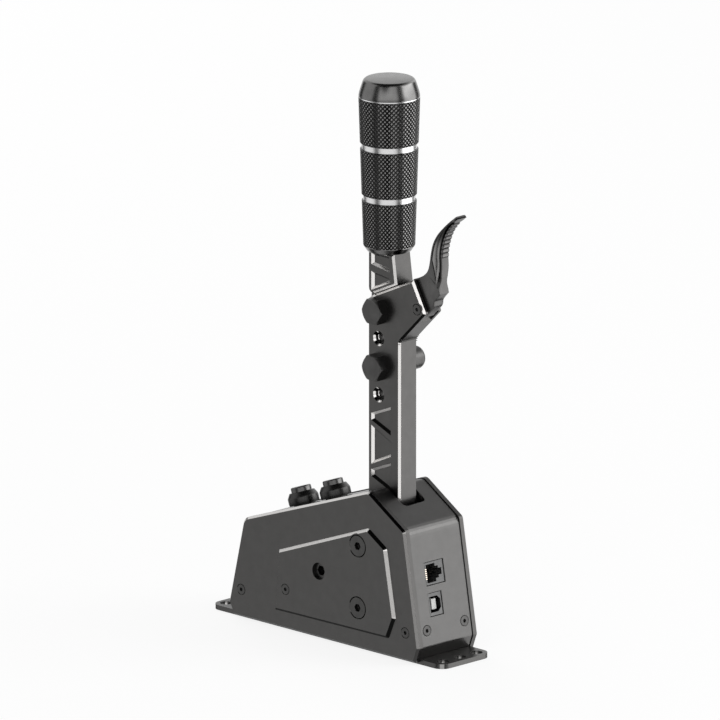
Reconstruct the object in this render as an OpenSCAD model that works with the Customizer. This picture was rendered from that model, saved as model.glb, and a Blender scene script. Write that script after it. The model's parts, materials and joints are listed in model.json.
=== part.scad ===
// Sequential gear shifter for a driving simulator: a flat lever with a knurled grip
// and a finger trigger, on a trapezoid base box with two push buttons and two ports.
// X points forward, away from the driver, to the ports. Y points left and Z up.
// The origin is the middle of the base plate's underside.

/* [Base plate] */
// Length over both ears
plate_l = 172.8; // [168:0.2:190]
// Inner width of the box, which is also the base plate's width
inner_w = 37.4; // [36:0.2:46]
// Thickness of the base plate
plate_t = 2.6; // [2:0.1:4]
// Radius of the plate's corners
plate_corner_r = 6; // [3:0.5:8]
// Radius of the mounting holes in the ears
ear_hole_r = 3.2; // [2.2:0.1:3.4]
// Distance from the plate's end to its row of holes
ear_hole_inset = 5.4; // [5:0.1:7]
// Distance between neighbouring holes across an ear
ear_hole_pitch = 12.5; // [8:0.5:12.5]

/* [Side plates] */
// Thickness of a side plate
side_t = 3.8; // [3:0.1:5]
// Height of the side plates' lower edge above the ground
side_lift = 1.2; // [0.4:0.1:2]
// Chamfer round a side plate's outer face
side_chamfer = 1.2; // [0.4:0.1:1.8]
// Height of the raised panel on a side plate
panel_h = 1.5; // [0.8:0.1:2]
// Rearmost point of the box
heel_x = -69.3; // [-72:0.1:-68]
// Height of the rearmost point
heel_z = 8.1; // [6:0.1:10]
// How far the lower edge is cut back at the rear
heel_cut = 3.3; // [1:0.1:5]
// Upper rear corner, forward position
rear_top_x = -58.1; // [-62:0.1:-56]
// Upper rear corner, height
rear_top_z = 55.6; // [52:0.1:60]
// Ridge of the box, forward position
ridge_x = 35.3; // [32:0.1:38]
// Ridge of the box, height
ridge_z = 88.2; // [86:0.1:94]
// Upper front corner, forward position
front_top_x = 61.9; // [60:0.1:64]
// Upper front corner, height
front_top_z = 71.5; // [68:0.1:74]
// Foremost point of the box
toe_x = 72.5; // [71:0.1:75]
// Height of the foremost point
toe_z = 9.4; // [7:0.1:11]
// How far the lower edge is cut back at the front
toe_cut = 3.0; // [1:0.1:5]

/* [Top cover] */
// Thickness of the cover's sheet
cover_t = 2.5; // [1.5:0.1:3]
// How far the cover lies inside the side plates' outline
cover_drop = 0.5; // [0.2:0.1:1]
// Outer radius of the bend between the slanted top and the front face
cover_bend_r = 9; // [4:0.5:12]
// Room beside the lever in its slot
slot_side_gap = 1.45; // [0.6:0.05:2]

/* [Pivot and stop] */
// Forward position of the lever's pivot and of the stop pin above it
pivot_x = 28.9; // [27:0.1:31]
// Height of the pivot
pivot_z = 23.8; // [22:0.1:26]
// Height of the stop pin
stop_z = 57.5; // [56:0.1:59]
// Tilt of the lever each way
tilt = 4.5; // [2:0.1:4.5]
// Radius of the pivot shaft
shaft_r = 5; // [4.5:0.1:5.5]
// Radial running clearance of the bushes on the shaft
run_gap = 0.04; // [0.01:0.01:0.1]
// Radius of the stop pin
stop_r = 5; // [4.2:0.1:5.2]
// Wall of the rubber sleeve on the stop pin
sleeve_t = 1; // [0.6:0.1:1.2]
// Gap left between the sleeve and its window at full tilt
stop_gap = 0.3; // [0.2:0.05:0.5]

/* [Screws] */
// Head radius of the large countersunk screws
big_head_r = 6.2; // [5.6:0.1:6.6]
// Shank radius of the large countersunk screws
big_shank_r = 3; // [2.5:0.1:3.2]
// Head radius of the small countersunk screws
small_head_r = 3; // [2.6:0.1:3.2]
// Shank radius of the small countersunk screws
small_shank_r = 1.5; // [1.2:0.1:1.6]
// Length of the small countersunk screws in the side plates
small_screw_l = 10; // [8:0.5:10]
// Length of the small countersunk screws in the cover's ends
cover_screw_l = 5.4; // [4.5:0.1:5.4]
// Gap between a screw and the hole it fills
screw_gap = 0.05; // [0.02:0.01:0.1]

/* [Lever] */
// Rear edge of the lever
lever_x0 = 19.1; // [18.6:0.1:20]
// Depth of the lever, rear edge to front edge
lever_d = 23.8; // [23:0.1:24.4]
// Thickness of the lever
lever_t = 13.5; // [12.5:0.1:15]
// Chamfer along the lever's edges
lever_chamfer = 1.1; // [0.4:0.1:1.3]
// Width of the slot for the upper stick and the trigger
fork_w = 7.7; // [7.4:0.1:8.2]
// Thickness of the upper stick's tongue
tongue_t = 7.3; // [6.8:0.1:7.3]
// Forward position of the column of clamp holes
clamp_x = 27.4; // [27:0.1:28.4]
// Height of the lowest clamp hole
clamp_z = 136.4; // [135.8:0.1:137]
// Distance between neighbouring clamp holes
clamp_pitch = 15.3; // [15:0.1:15.4]
// Radius of the clamp holes
clamp_hole_r = 3.1; // [3.05:0.05:3.4]
// Radius of the clamp bolts' shanks
clamp_bolt_r = 3; // [2.6:0.1:3]
// Size of the clamp bolts' heads across their flats
bolt_af = 13; // [11:0.5:13]
// Height of the clamp bolts' heads
bolt_head_h = 5.8; // [4:0.1:6.5]
// Radius of the round clamp nuts
nut_r = 6.2; // [5:0.1:6.8]
// Length of the round clamp nuts
nut_l = 16; // [12:0.5:16.5]
// Depth of the milled pockets in the stick's sides
pocket_depth = 1.4; // [0.6:0.1:1.8]
// Height of one repeat of the milled pattern
truss_pitch = 30.5; // [29:0.1:31]

/* [Trigger] */
// Forward position of the trigger's pivot
trigger_x = 55.6; // [55.4:0.1:55.9]
// Height of the trigger's pivot
trigger_z = 187.9; // [187.6:0.1:188.2]
// Thickness of the trigger
trigger_t = 7; // [6:0.1:7.1]
// Radius of the trigger's pin
trigger_pin_r = 1.6; // [1.4:0.1:1.8]
// Travel of the trigger
trigger_pull = 10; // [4:0.5:10]

/* [Grip] */
// Forward position of the grip's axis
grip_x = 28.5; // [28:0.1:29.2]
// Height of the grip's lower end
grip_z0 = 214.1; // [212:0.1:216]
// Height of the lower sleeve, with its smooth foot
sleeve_low_l = 27.5; // [24:0.1:32]
// Height of the middle sleeve
sleeve_mid_l = 24.9; // [20:0.1:30]
// Height of the upper sleeve
sleeve_high_l = 24.7; // [20:0.1:30]
// Height of the thin ring under the cap
thin_ring_h = 0.6; // [0.4:0.1:1]
// Height of the cap
cap_h = 9.3; // [8:0.1:12]
// Radius of the knurled part at its lower end
grip_r0 = 13.75; // [13:0.05:14.5]
// Radius of the knurled part at its upper end
grip_r1 = 16.25; // [15.5:0.05:17]
// Radius of the grip's lower rim
grip_rim_r = 11.6; // [11:0.1:12.4]
// Radius of the flat on top of the cap
cap_flat_r = 13; // [11:0.1:13.6]
// How deep the bright rings lie in the grip
ring_drop = 0.8; // [0.3:0.1:1.2]
// Height of each bright ring
ring_h = 3; // [2:0.1:4]
// Radius of the grip's core
core_r = 8; // [7:0.1:9]
// Radius of the stud that holds the grip
stud_r = 4; // [3:0.1:4.4]

/* [Buttons and ports] */
// Forward position of the rear push button
button_rear_x = -34.5; // [-38:0.1:-33]
// Distance between the push buttons along the slope
button_pitch = 25.2; // [20:0.1:25.4]
// Radius of a button's collar
collar_r = 8.3; // [7.6:0.05:9]
// Radius of a button's moving cap
button_r = 5.5; // [4.5:0.1:5.6]
// Height of a button's cap above the cover
button_h = 9.5; // [8.5:0.1:11]
// Travel of a button
button_travel = 1.6; // [0.8:0.1:1.8]
// Radius of a button's threaded barrel
barrel_r = 6; // [5.8:0.1:6.4]
// Thickness of the circuit board
board_t = 1.6; // [1:0.1:2]
// Distance of the board's front from the middle plane
board_y = 9.9; // [9.8:0.1:10.4]
// Height of the modular jack's centre along the front face
jack_s = 37.5; // [36.5:0.1:39]
// Height of the square socket's centre along the front face
usb_s = 21; // [20:0.1:21.5]
// Room round each socket in the front face
port_gap = 0.3; // [0.2:0.05:0.5]

/* [Hidden] */
$fn = 48;

// How far cutters reach past what they cut
over = 1;
// Gap between pieces that move past each other
free_gap = 0.3;
half_w = inner_w / 2;
side_y = half_w + side_t;
panel_y = side_y + panel_h;

// Corners of the box seen from the side, anticlockwise from the rear foot
heel_foot = [heel_x + heel_cut, side_lift];
toe_foot = [toe_x - toe_cut, side_lift];
toe = [toe_x, toe_z];
front_top = [front_top_x, front_top_z];
ridge = [ridge_x, ridge_z];
rear_top = [rear_top_x, rear_top_z];
heel = [heel_x, heel_z];
side_pts = [heel_foot, toe_foot, toe, front_top, ridge, rear_top, heel];
side_radii = [0, 0, 1.5, 2.5, 4, 5.5, 1.5];

// The cover's outline runs on below the base plate, where it is cut off
cover_foot_z = -6;
cover_pts = [[x_at(heel, heel_foot, cover_foot_z), cover_foot_z],
    [x_at(toe, toe_foot, cover_foot_z), cover_foot_z], toe, front_top, ridge, rear_top, heel];
cover_outer = inset(cover_pts, cover_drop);
cover_inner = inset(cover_pts, cover_drop + cover_t);
cover_radii = [0, 0, 2, cover_bend_r, 4, 6, 2];

front_lean = atan2(cover_outer[2].x - cover_outer[3].x, cover_outer[3].y - cover_outer[2].y);
rear_lean = atan2(cover_outer[5].x - cover_outer[6].x, cover_outer[5].y - cover_outer[6].y);
top_slope = atan2(ridge.y - rear_top.y, ridge.x - rear_top.x);

// Raised panel on a side plate
panel_pts = [[-34, 10.2], [50.9, 11], [56.1, 23.2], [49.4, 60.1], [36, 68.5], [-31, 43.7]];
panel_radii = [0, 2, 2, 3, 3, 0];
// How far the panel's chamfer runs on below the plate's face
panel_over = 0.1;

// Small screws in a side plate: place along X, height, and the face that their heads lie in
block_screws = [[-59.6, 16.2], [62.8, 16.5]];
frame_screw = [-25, 23.3];
adjuster = [-0.1, 38.1];
adjuster_r = 4.6;
adjuster_sink = 2;
adjuster_l = 11;
adjuster_key_r = 2.9;
adjuster_key_l = 4.5;
adjuster_bore_l = 5;
tip_r = 2.4;
tip_sink = 4;

// Blocks between the side plates
front_block_x = 56;
rear_block_x = -53;
rear_block_z = 24;
frame_x0 = -33;
frame_x1 = -17;
frame_z = 32;
frame_post_x = [-22, -15];
frame_end_x = 8;
frame_arm_t = 4.6;
frame_w = 18;

// Screws: depth of the large ones in their shafts, and the radii of the hexagon keys
big_screw_hold = 9;
big_screw_l = panel_h + side_t + big_screw_hold;
big_key_r = 2.3;
small_key_r = 1.1;
base_key_r = 1.4;

// Screws through the cover's ends and through the base plate
cover_screw_y = 14;
cover_screw_s = 8.2;
base_screw_x = [-58.5, -25, 62];
base_screw_y = 12;
base_screw_r = 2;
base_head_r = 4;
// Upright rim of a countersunk head, as a share of its radius
screw_rim = 0.09;
base_screw_l = 12;

// Lever
lever_x1 = lever_x0 + lever_d;
half_t = lever_t / 2;
stick_foot_x = 16;
stick_foot_z = 36.5;
stick_waist_z = 64;
bracket_low = [lever_x1, 168];
bracket_front = [61.6, 186.3];
bracket_top = [52.3, 203.1];
bracket_rear = [22.3, 189.5];
fork_z = 128;
fork_front_x = 39.9;
fork_far_x = 75;
fork_top_z = 220;
// Lower end of the slot in the bracket's slanted front
slot_end_x = 55.4;
pocket_x = [21.8, 36.4];
// Upright part of a pocket's wall, above its slope
pocket_lip = 0.1;
truss_z = 123.6;
// Half heights of the zigzag pattern's pockets at the stick's rear and front edges
truss_narrow = [1.9, 7.7];
truss_wide = [10.7, 4.1];
web_t = 1.8;
stick_pts = [[stick_foot_x, stick_foot_z], [lever_x1, stick_foot_z], bracket_low,
    bracket_front, bracket_top, bracket_rear, [lever_x0, 187.2],
    [lever_x0, stick_waist_z + 5], [stick_foot_x, stick_waist_z]];
stick_radii = [0, 0, 4, 1.5, 0, 0, 0, 0, 0];
window_rx = stop_r + sleeve_t + (stop_z - pivot_z) * tan(tilt) + stop_gap;
window_rz = stop_r + sleeve_t + 0.4;
slot_x0 = lever_x0 - (z_at(rear_top, ridge, lever_x0) - pivot_z) * tan(tilt) - stop_gap;
slot_x1 = lever_x1 + (z_at(ridge, front_top, lever_x1) - pivot_z) * tan(tilt) + stop_gap;

// Hub that carries the lever on the pivot shaft, and its arm between the springs
hub_r = 13;
cheek_t = 4;
cheek_z = 50;
hub_y = half_t + cheek_t;
bush_r = 7;
bush_flange_r = 9;
bush_flange_t = 1.5;
bush_l = 9;
spacer_r = 8;
hub_bolt_x = [26, 38.5];
hub_bolt_z = 43.6;
hub_bolt_r = 2;
hub_bolt_head_r = 3.6;
hub_bolt_head_h = 3;
hub_bolt_key = [1.7, 2];
arm_x = -7;
arm_bend_x = 8;
arm_web_x = 16;
arm_root_x = 22;
arm_root_z = [20, 44];
arm_top_x = 12;
arm_web_drop = 4;
arm_z0 = 33.7;
arm_z1 = 42.5;
arm_w = 10;
spring_x = -0.1;
spring_r = 5.2;
spring_wire_r = 0.8;
peg_r = 3.4;
peg_h = 2;
seat_low_z = 22;
seat_high_z = 54;

// Upper stick
shoulder_gap = 0.6;
shoulder_rise = (bracket_top.y - bracket_rear.y) / (bracket_top.x - bracket_rear.x);
shoulder_lift = shoulder_gap * sqrt(1 + shoulder_rise * shoulder_rise);
upper_front_x = 40.3;
upper_top_x = 38.1;
upper_pts = [shoulder(lever_x0), shoulder(upper_front_x), [upper_top_x, grip_z0],
    [lever_x0, grip_z0]];
upper_rib_z = 204.5;
upper_pockets = [[shoulder(pocket_x[0]) + [0, 2.4], shoulder(35.9) + [0, 2.4],
    [35.6, upper_rib_z - 3.6], [pocket_x[0], upper_rib_z - 1.8]],
    [[pocket_x[0], upper_rib_z + 1.8], [35.4, upper_rib_z - 0.3], [34.9, grip_z0 - 1.5],
    [pocket_x[0], grip_z0 - 1.5]]];
tongue_front_x = 36.6;
tongue_z = 130;
lead_x = 38.3;
lead_r = 1;
lead_bore_r = 1.4;
lead_exit_z = 76;
lead_top_z = trigger_z - 7.1;

// Trigger: points along its rear edge from the tip down, then along its front edge
trigger_rear = [[80.9, 242.2], [74, 236.6], [68.6, 231.5], [64.9, 226.8], [62.8, 220.5],
    [61.1, 211], [57.2, 206.2], [49.8, 202.8]];
tail_tip = [46, 186.6];
tail_front = [52.2, 185.5];
// The foot lies just inside the bracket's slanted front
trigger_tail = [[47.2, 199], [45.6, 192], [45, 188.4], tail_tip, tail_front, [56.3, 184.7],
    [58.4, 183.6], [64.5, 189.9]];
trigger_front = [[65.3, 193.2], [66.8, 195.4], [69.4, 197.8],
    [68.8, 201.8], [70.1, 213], [69.9, 219], [70.9, 224.9], [73.2, 230.8], [77.2, 236.5],
    [82.2, 240.9]];
trigger_pts = concat(spline(trigger_rear, 5), trigger_tail, spline(trigger_front, 5));
// The switch ends where the trigger's tail ends its travel
switch_x = [41, 46.4];
switch_w = 6;
pull_spring_x = 49.6;
pull_spring_r = 1.6;
pull_wire_r = 0.3;
plunger_r = 1.2;
plunger_h = 0.7;
plunger_z = trigger_z + (tail_tip.y - trigger_z) * cos(trigger_pull)
    + (tail_tip.x - trigger_x) * sin(trigger_pull) - free_gap;
trigger_hub_r = 4;
trigger_head_r = 3.1;
rib_count = 9;
rib_r = 0.75;
rib_path = spline([[69.8, 218.8], [70.7, 224.9], [73, 230.9], [78, 237.6]], 8);

// Grip
bevel_z = grip_z0 + 4.9;
ring_low_z = grip_z0 + sleeve_low_l;
ring_high_z = ring_low_z + ring_h + sleeve_mid_l;
thin_ring_z = ring_high_z + ring_h + sleeve_high_l;
cap_z = thin_ring_z + thin_ring_h;
grip_z1 = cap_z + cap_h;
core_top = cap_z + 4;
thin_ring_drop = 0.05;
sleeve_edge = [0.4, 0.6];
stud_sink = 12;
stud_rise = 26;

// Buttons
barrel_l = 9;
button_bore = button_r + free_gap;
cap_show = 2.8;
collar_h = button_h - cap_show;
collar_foot = [0.2, 1.5];
collar_bevel = [1.6, 2.8];
cap_floor = 0.6;
cap_foot = cap_floor + button_travel + free_gap;
cap_edge = 0.6;
stem_r = 2.2;
stem_l = 3.2;
stem_gap = 0.3;
spring_room = [2, 4];
button_wire_r = 0.3;
switch_top = -5.1;
switch_r = 4.5;
switch_tail = 2;
switch_pin = [0.8, 1, 2.5];
barrel_nut = [2.2, 2.5];

// Ports, in a frame on the front face: depth in, across, and up along the face
jack_w = 13.3;
jack_h = 12;
jack_d = 15.5;
jack_wall = 0.9;
jack_back = 3.5;
// Steps of the jack's mouth: how far they reach across, and how high they are
jack_steps = [[6.5, 9.8], [8.7, 6.4], [11, 3.6]];
contact_pitch = 1.27;
contact_t = 0.6;
contact_l = 8;
contact_in = 9.5;
usb_w = 9.3;
usb_h = 12;
usb_d = 15.5;
port_sink = 0.4;
usb_bore_d = 10;
usb_wall = 0.75;
// Mouth of the square socket: half its height, its upright part and its narrow end
usb_half = 4.23;
usb_upright = 5.6;
usb_narrow = 2.2;
usb_mouth_w = 7.8;
usb_tongue = [9, 3.2, 5.6];
usb_tongue_y = 2.75;
// The front block ends just below the square socket's inner end
front_block_z = cover_outer[2].y + (usb_s - usb_h / 2) * cos(front_lean)
    - (port_sink + usb_d) * sin(front_lean) - free_gap;
board_x0 = 44.2;
board_z0 = 25;
board_z1 = 70.6;
board_edge = 1;
board_slant_x = 56;
board_slant_z = 65;
board_notch_z = 61;
sensor_room = [4.8, 3.2];
sensor_size = [4, 1.2, 3];
magnet_r = 2;
magnet_h = 2.5;
standoffs = [[46.6, 28.2], [46.6, 66.5], [55.6, 62.5]];
standoff_r = 2.4;
board_screw_r = 1.2;
board_screw_l = 4;
board_screw_head = [2.2, 1.5];
sensor_x = 37.8;
sensor_z = 68;

// Position on the line through a and b
function x_at(a, b, z) = a.x + (b.x - a.x) * (z - a.y) / (b.y - a.y);
function z_at(a, b, x) = a.y + (b.y - a.y) * (x - a.x) / (b.x - a.x);
function unit(v) = v / norm(v);
function half_angle(p, a, b) = acos(unit(a - p) * unit(b - p)) / 2;
// Point that lies d from both edges that meet in p
function inner_corner(p, a, b, d) =
    p + unit(unit(a - p) + unit(b - p)) * d / sin(half_angle(p, a, b));
// A convex outline moved inwards by d
function inset(pts, d) = let (n = len(pts))
    [for (i = [0:n - 1]) inner_corner(pts[i], pts[(i + n - 1) % n], pts[(i + 1) % n], d)];
// Arc of radius r in place of the corner p
function arc(p, a, b, r, steps) =
    let (c = inner_corner(p, a, b, r), t = r / tan(half_angle(p, a, b)))
    let (s = p + unit(a - p) * t - c, e = p + unit(b - p) * t - c)
    let (a0 = atan2(s.y, s.x), turn = (atan2(e.y, e.x) - a0 + 540) % 360 - 180)
    [for (k = [0:steps]) c + r * [cos(a0 + turn * k / steps), sin(a0 + turn * k / steps)]];
// An outline whose corners have the radii in rs
function soften(pts, rs, steps = 5) = let (n = len(pts)) [for (i = [0:n - 1])
    each (rs[i] > 0
        ? arc(pts[i], pts[(i + n - 1) % n], pts[(i + 1) % n], rs[i], steps) : [pts[i]])];
// Smooth curve through the points of p
function spline(p, steps) = let (n = len(p)) concat([for (i = [0:n - 2], k = [0:steps - 1])
    blend(p[max(i - 1, 0)], p[i], p[i + 1], p[min(i + 2, n - 1)], k / steps)], [p[n - 1]]);
function blend(a, b, c, d, t) = (2 * b + (c - a) * t + (2 * a - 5 * b + 4 * c - d) * t * t
    + (3 * b - a - 3 * c + d) * t * t * t) / 2;
// Point of the upper stick's shoulder, just above the bracket's top edge
function shoulder(x) =
    [x, bracket_rear.y + (x - bracket_rear.x) * shoulder_rise + shoulder_lift];
// Inner side of the web under the trigger
function web_z(x) = let (run = bracket_front - bracket_low)
    z_at(bracket_low, bracket_front, x) + web_t * norm(run) / run.x;
function grip_r(z) = grip_r0 + (grip_r1 - grip_r0) * (z - bevel_z) / (cap_z - bevel_z);

// Cutters that chamfer the upper edges of an outline whose upper face is at height 0
module bevel_cuts(pts, c) {
    n = len(pts);
    for (i = [0:n - 1]) {
        p = pts[i];
        q = pts[(i + 1) % n];
        d = unit(q - p);
        before = p - pts[(i + n - 1) % n];
        after = pts[(i + 2) % n] - q;
        e0 = before.x * d.y - before.y * d.x > 0 ? 1.2 * c : 0;
        e1 = d.x * after.y - d.y * after.x > 0 ? 1.2 * c : 0;
        multmatrix([[-d.y, 0, d.x, p.x], [d.x, 0, d.y, p.y], [0, 1, 0, 0], [0, 0, 0, 1]])
            translate([0, 0, -e0])
                linear_extrude(norm(q - p) + e0 + e1)
                    polygon([[-over, -c - over], [c + over, over], [-over, over]]);
    }
}

// Upright plate from the middle plane to y, with its outer edges chamfered
module half_plate(pts, y, c) {
    rotate([90, 0, 0])
        difference() {
            linear_extrude(y) polygon(pts);
            translate([0, 0, y]) bevel_cuts(pts, c);
        }
}

// Upright bar about the middle plane with the edges of both faces chamfered
module bar(pts, y, c) {
    difference() {
        upright(pts, 2 * y);
        both_sides()
            rotate([90, 0, 0])
                translate([0, 0, y])
                    bevel_cuts(pts, c);
    }
}

// Upright plate of an even thickness about the middle plane
module upright(pts, w) {
    translate([0, w / 2, 0])
        rotate([90, 0, 0])
            linear_extrude(w) polygon(pts);
}

// Places children with their z pointing out of the right side, at height 0 on the face y
module on_side(x, z, y) {
    rotate([90, 0, 0])
        translate([x, z, y])
            children();
}

module both_sides() {
    children();
    mirror([0, 1, 0]) children();
}

// Places children on the front face: x out of it, z up along it
module on_front(y, s) {
    translate([cover_outer[2].x, y, cover_outer[2].y])
        rotate([0, -front_lean, 0])
            translate([0, 0, s])
                children();
}

module on_rear(y, s) {
    translate([cover_outer[6].x, y, cover_outer[6].y])
        rotate([0, rear_lean, 0])
            translate([0, 0, s])
                mirror([1, 0, 0])
                    children();
}

// Places children on the cover's rear slope, with z out of it
module on_slope(x) {
    translate([x, 0, z_at(cover_outer[5], cover_outer[4], x)])
        rotate([0, -top_slope, 0])
            children();
}

module on_button(front) {
    on_slope(button_rear_x)
        translate([front ? button_pitch : 0, 0, 0])
            children();
}

// Countersunk screw with its flat top at height 0
module flat_screw(head_r, shank_r, length, key_r) {
    cone_h = head_r - shank_r;
    rim_h = head_r * screw_rim;
    difference() {
        union() {
            translate([0, 0, -cone_h])
                cylinder(h = cone_h - rim_h, r1 = shank_r, r2 = head_r - rim_h);
            translate([0, 0, -rim_h]) cylinder(h = rim_h, r = head_r - rim_h);
            translate([0, 0, -length]) cylinder(h = length - cone_h, r = shank_r);
        }
        translate([0, 0, -cone_h * 0.8]) cylinder(h = cone_h, r = key_r, $fn = 6);
    }
}

// Hole that a countersunk screw fills
module flat_screw_cut(head_r, shank_r, length) {
    cone_h = head_r - shank_r;
    g = screw_gap;
    translate([0, 0, -cone_h - g]) cylinder(h = cone_h + g, r1 = shank_r, r2 = head_r + g);
    translate([0, 0, -length - g]) cylinder(h = length + g, r = shank_r + g);
    cylinder(h = over, r = head_r + g);
}

// Helical spring from height 0 to h
module coil(r, wire, turns, h, steps = 8, sides = 6) {
    rings = turns * steps;
    points = [for (i = [0:rings], k = [0:sides - 1])
        let (a = 360 * i / steps, b = 360 * k / sides, m = r + wire * cos(b))
        [m * cos(a), m * sin(a), wire + (h - 2 * wire) * i / rings + wire * sin(b)]];
    sweep(points, rings, sides);
}

// Round tube along a path whose tangents are never parallel to side
module lead(path, r, side, sides = 8) {
    n = len(path);
    points = [for (i = [0:n - 1])
        let (t = unit(path[min(i + 1, n - 1)] - path[max(i - 1, 0)]))
        let (u = unit(cross(side, t)), v = cross(t, u))
        for (k = [0:sides - 1])
            path[i] + r * (cos(360 * k / sides) * u + sin(360 * k / sides) * v)];
    sweep(points, n - 1, sides);
}

// Closed skin over rings of points
module sweep(points, rings, sides) {
    walls = [for (i = [0:rings - 1], k = [0:sides - 1])
        let (a = i * sides + k, b = i * sides + (k + 1) % sides)
        each [[a, b, b + sides], [a, b + sides, a + sides]]];
    caps = [for (k = [1:sides - 2]) each [[0, k + 1, k],
        [rings * sides, rings * sides + k, rings * sides + k + 1]]];
    polyhedron([for (p = points) p], [for (f = concat(walls, caps)) [f[0], f[2], f[1]]]);
}

module base_plate() color("#3a3a39") {
    x = plate_l / 2;
    r = plate_corner_r;
    difference() {
        linear_extrude(plate_t)
            polygon(soften([[-x, -half_w], [x, -half_w], [x, half_w], [-x, half_w]],
                [r, r, r, r], 8));
        for (end = [-1, 1], row = [-1:1])
            translate([end * (x - ear_hole_inset), row * ear_hole_pitch, -over])
                cylinder(h = plate_t + 2 * over, r = ear_hole_r);
        base_screw_places()
            flat_screw_cut(base_head_r, base_screw_r, base_screw_l);
    }
}

module base_screw_places() {
    for (x = base_screw_x, y = [-base_screw_y, base_screw_y])
        translate([x, y, 0])
            rotate([180, 0, 0])
                children();
}

module base_screws() color("#2b2b2b")
    base_screw_places()
        translate([0, 0, -screw_gap])
            flat_screw(base_head_r - screw_gap, base_screw_r, base_screw_l, base_key_r);

module big_screw_places()
    for (z = [pivot_z, stop_z])
        on_side(pivot_x, z, panel_y)
            children();

module small_screw_places() {
    for (at = block_screws)
        on_side(at.x, at.y, side_y)
            children();
    on_side(frame_screw.x, frame_screw.y, panel_y)
        children();
}

module side_plate() {
    outline = soften(side_pts, side_radii, 3);
    panel = soften(panel_pts, panel_radii, 3);
    difference() {
        union() {
            half_plate(outline, side_y, side_chamfer);
            half_plate(panel, panel_y, panel_h + panel_over);
        }
        translate([-200, -half_w, -200]) cube([400, 100, 600]);
        big_screw_places() flat_screw_cut(big_head_r, big_shank_r, big_screw_l);
        small_screw_places() flat_screw_cut(small_head_r, small_shank_r, small_screw_l);
        on_side(adjuster.x, adjuster.y, half_w - over)
            cylinder(h = side_t + panel_h + 2 * over, r = adjuster_r + screw_gap);
    }
}

module side_plate_right() color("#4b4b48") side_plate();

module side_plate_left() color("#4b4b48") mirror([0, 1, 0]) side_plate();

// Solid that fills the cover, from its inner side down to the ground
module cover_core(w) {
    radii = [for (r = cover_radii) max(r - cover_t, 0.3) * (r > 0 ? 1 : 0)];
    upright(soften(cover_inner, radii), w);
}

module below_plate_top()
    translate([-100, -50, -50]) cube([200, 100, 50 + plate_t]);

module top_cover() color("#565653") {
    difference() {
        upright(soften(cover_outer, cover_radii), inner_w);
        cover_core(inner_w + 2 * over);
        below_plate_top();
        lever_slot();
        for (front = [false, true])
            on_button(front)
                translate([0, 0, -8])
                    cylinder(h = 12, r = barrel_r + 0.1);
        on_front(-board_y - port_gap, jack_s - jack_h / 2 - port_gap)
            translate([-8, 0, 0])
                cube([10, jack_w + 2 * port_gap, jack_h + 2 * port_gap]);
        on_front(-board_y - port_gap, usb_s - usb_h / 2 - port_gap)
            translate([-8, 0, 0])
                cube([10, usb_w + 2 * port_gap, usb_h + 2 * port_gap]);
        cover_screw_places()
            flat_screw_cut(small_head_r, small_shank_r, cover_screw_l);
    }
}

module lever_slot() {
    y = half_t + slot_side_gap;
    translate([0, 0, 50])
        linear_extrude(60)
            polygon(soften([[slot_x0, -y], [slot_x1, -y], [slot_x1, y], [slot_x0, y]],
                [2.5, 2.5, 2.5, 2.5]));
}

module cover_screw_places() {
    for (y = [-cover_screw_y, cover_screw_y]) {
        on_front(y, cover_screw_s) rotate([0, 90, 0]) children();
        on_rear(y, cover_screw_s) rotate([0, 90, 0]) children();
    }
}

module cover_screws() color("#2b2b2b")
    cover_screw_places()
        flat_screw(small_head_r - screw_gap, small_shank_r, cover_screw_l, small_key_r);

// Cross block between the side plates, shaped to the inside of the cover
module cross_block(x0, x1, top) {
    difference() {
        intersection() {
            cover_core(inner_w);
            translate([x0, -half_w, plate_t]) cube([x1 - x0, inner_w, top - plate_t]);
        }
        block_cuts();
    }
}

// Holes of every screw that ends in a block
module block_cuts() {
    both_sides()
        small_screw_places()
            flat_screw_cut(small_head_r, small_shank_r, small_screw_l);
    base_screw_places() flat_screw_cut(base_head_r, base_screw_r, base_screw_l);
    cover_screw_places() flat_screw_cut(small_head_r, small_shank_r, cover_screw_l);
}

module front_block() color("#8a8c8e") cross_block(front_block_x, toe_x, front_block_z);

module rear_block() color("#8a8c8e") cross_block(heel_x, rear_block_x, rear_block_z);

// Block with an arm over it that holds both centring springs
module spring_frame() color("#8a8c8e")
    difference() {
        union() {
            translate([frame_x0, -half_w, plate_t])
                cube([frame_x1 - frame_x0, inner_w, frame_z - plate_t]);
            upright([[frame_x0, plate_t], [frame_end_x, plate_t], [frame_end_x, seat_low_z],
                [frame_post_x[1], seat_low_z], [frame_post_x[1], seat_high_z],
                [frame_end_x, seat_high_z], [frame_end_x, seat_high_z + frame_arm_t],
                [frame_post_x[0], seat_high_z + frame_arm_t], [frame_post_x[0], frame_z],
                [frame_x0, frame_z]], frame_w);
            spring_peg(seat_low_z, 1);
            spring_peg(seat_high_z, -1);
        }
        block_cuts();
    }

module spring_peg(z, way)
    translate([spring_x, 0, way > 0 ? z - over : z - peg_h])
        cylinder(h = peg_h + over, r = peg_r);

module shaft(r, z) {
    difference() {
        on_side(pivot_x, z, -half_w) cylinder(h = inner_w, r = r);
        both_sides()
            big_screw_places() flat_screw_cut(big_head_r, big_shank_r, big_screw_l);
    }
}

module pivot_shaft() color("#b9bbbd") shaft(shaft_r, pivot_z);

module stop_pin() color("#b9bbbd") shaft(stop_r, stop_z);

module stop_sleeve() color("#1c1c1c")
    on_side(pivot_x, stop_z, -hub_y)
        difference() {
            cylinder(h = 2 * hub_y, r = stop_r + sleeve_t);
            translate([0, 0, -over])
                cylinder(h = 2 * hub_y + 2 * over, r = stop_r + screw_gap);
        }

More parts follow.
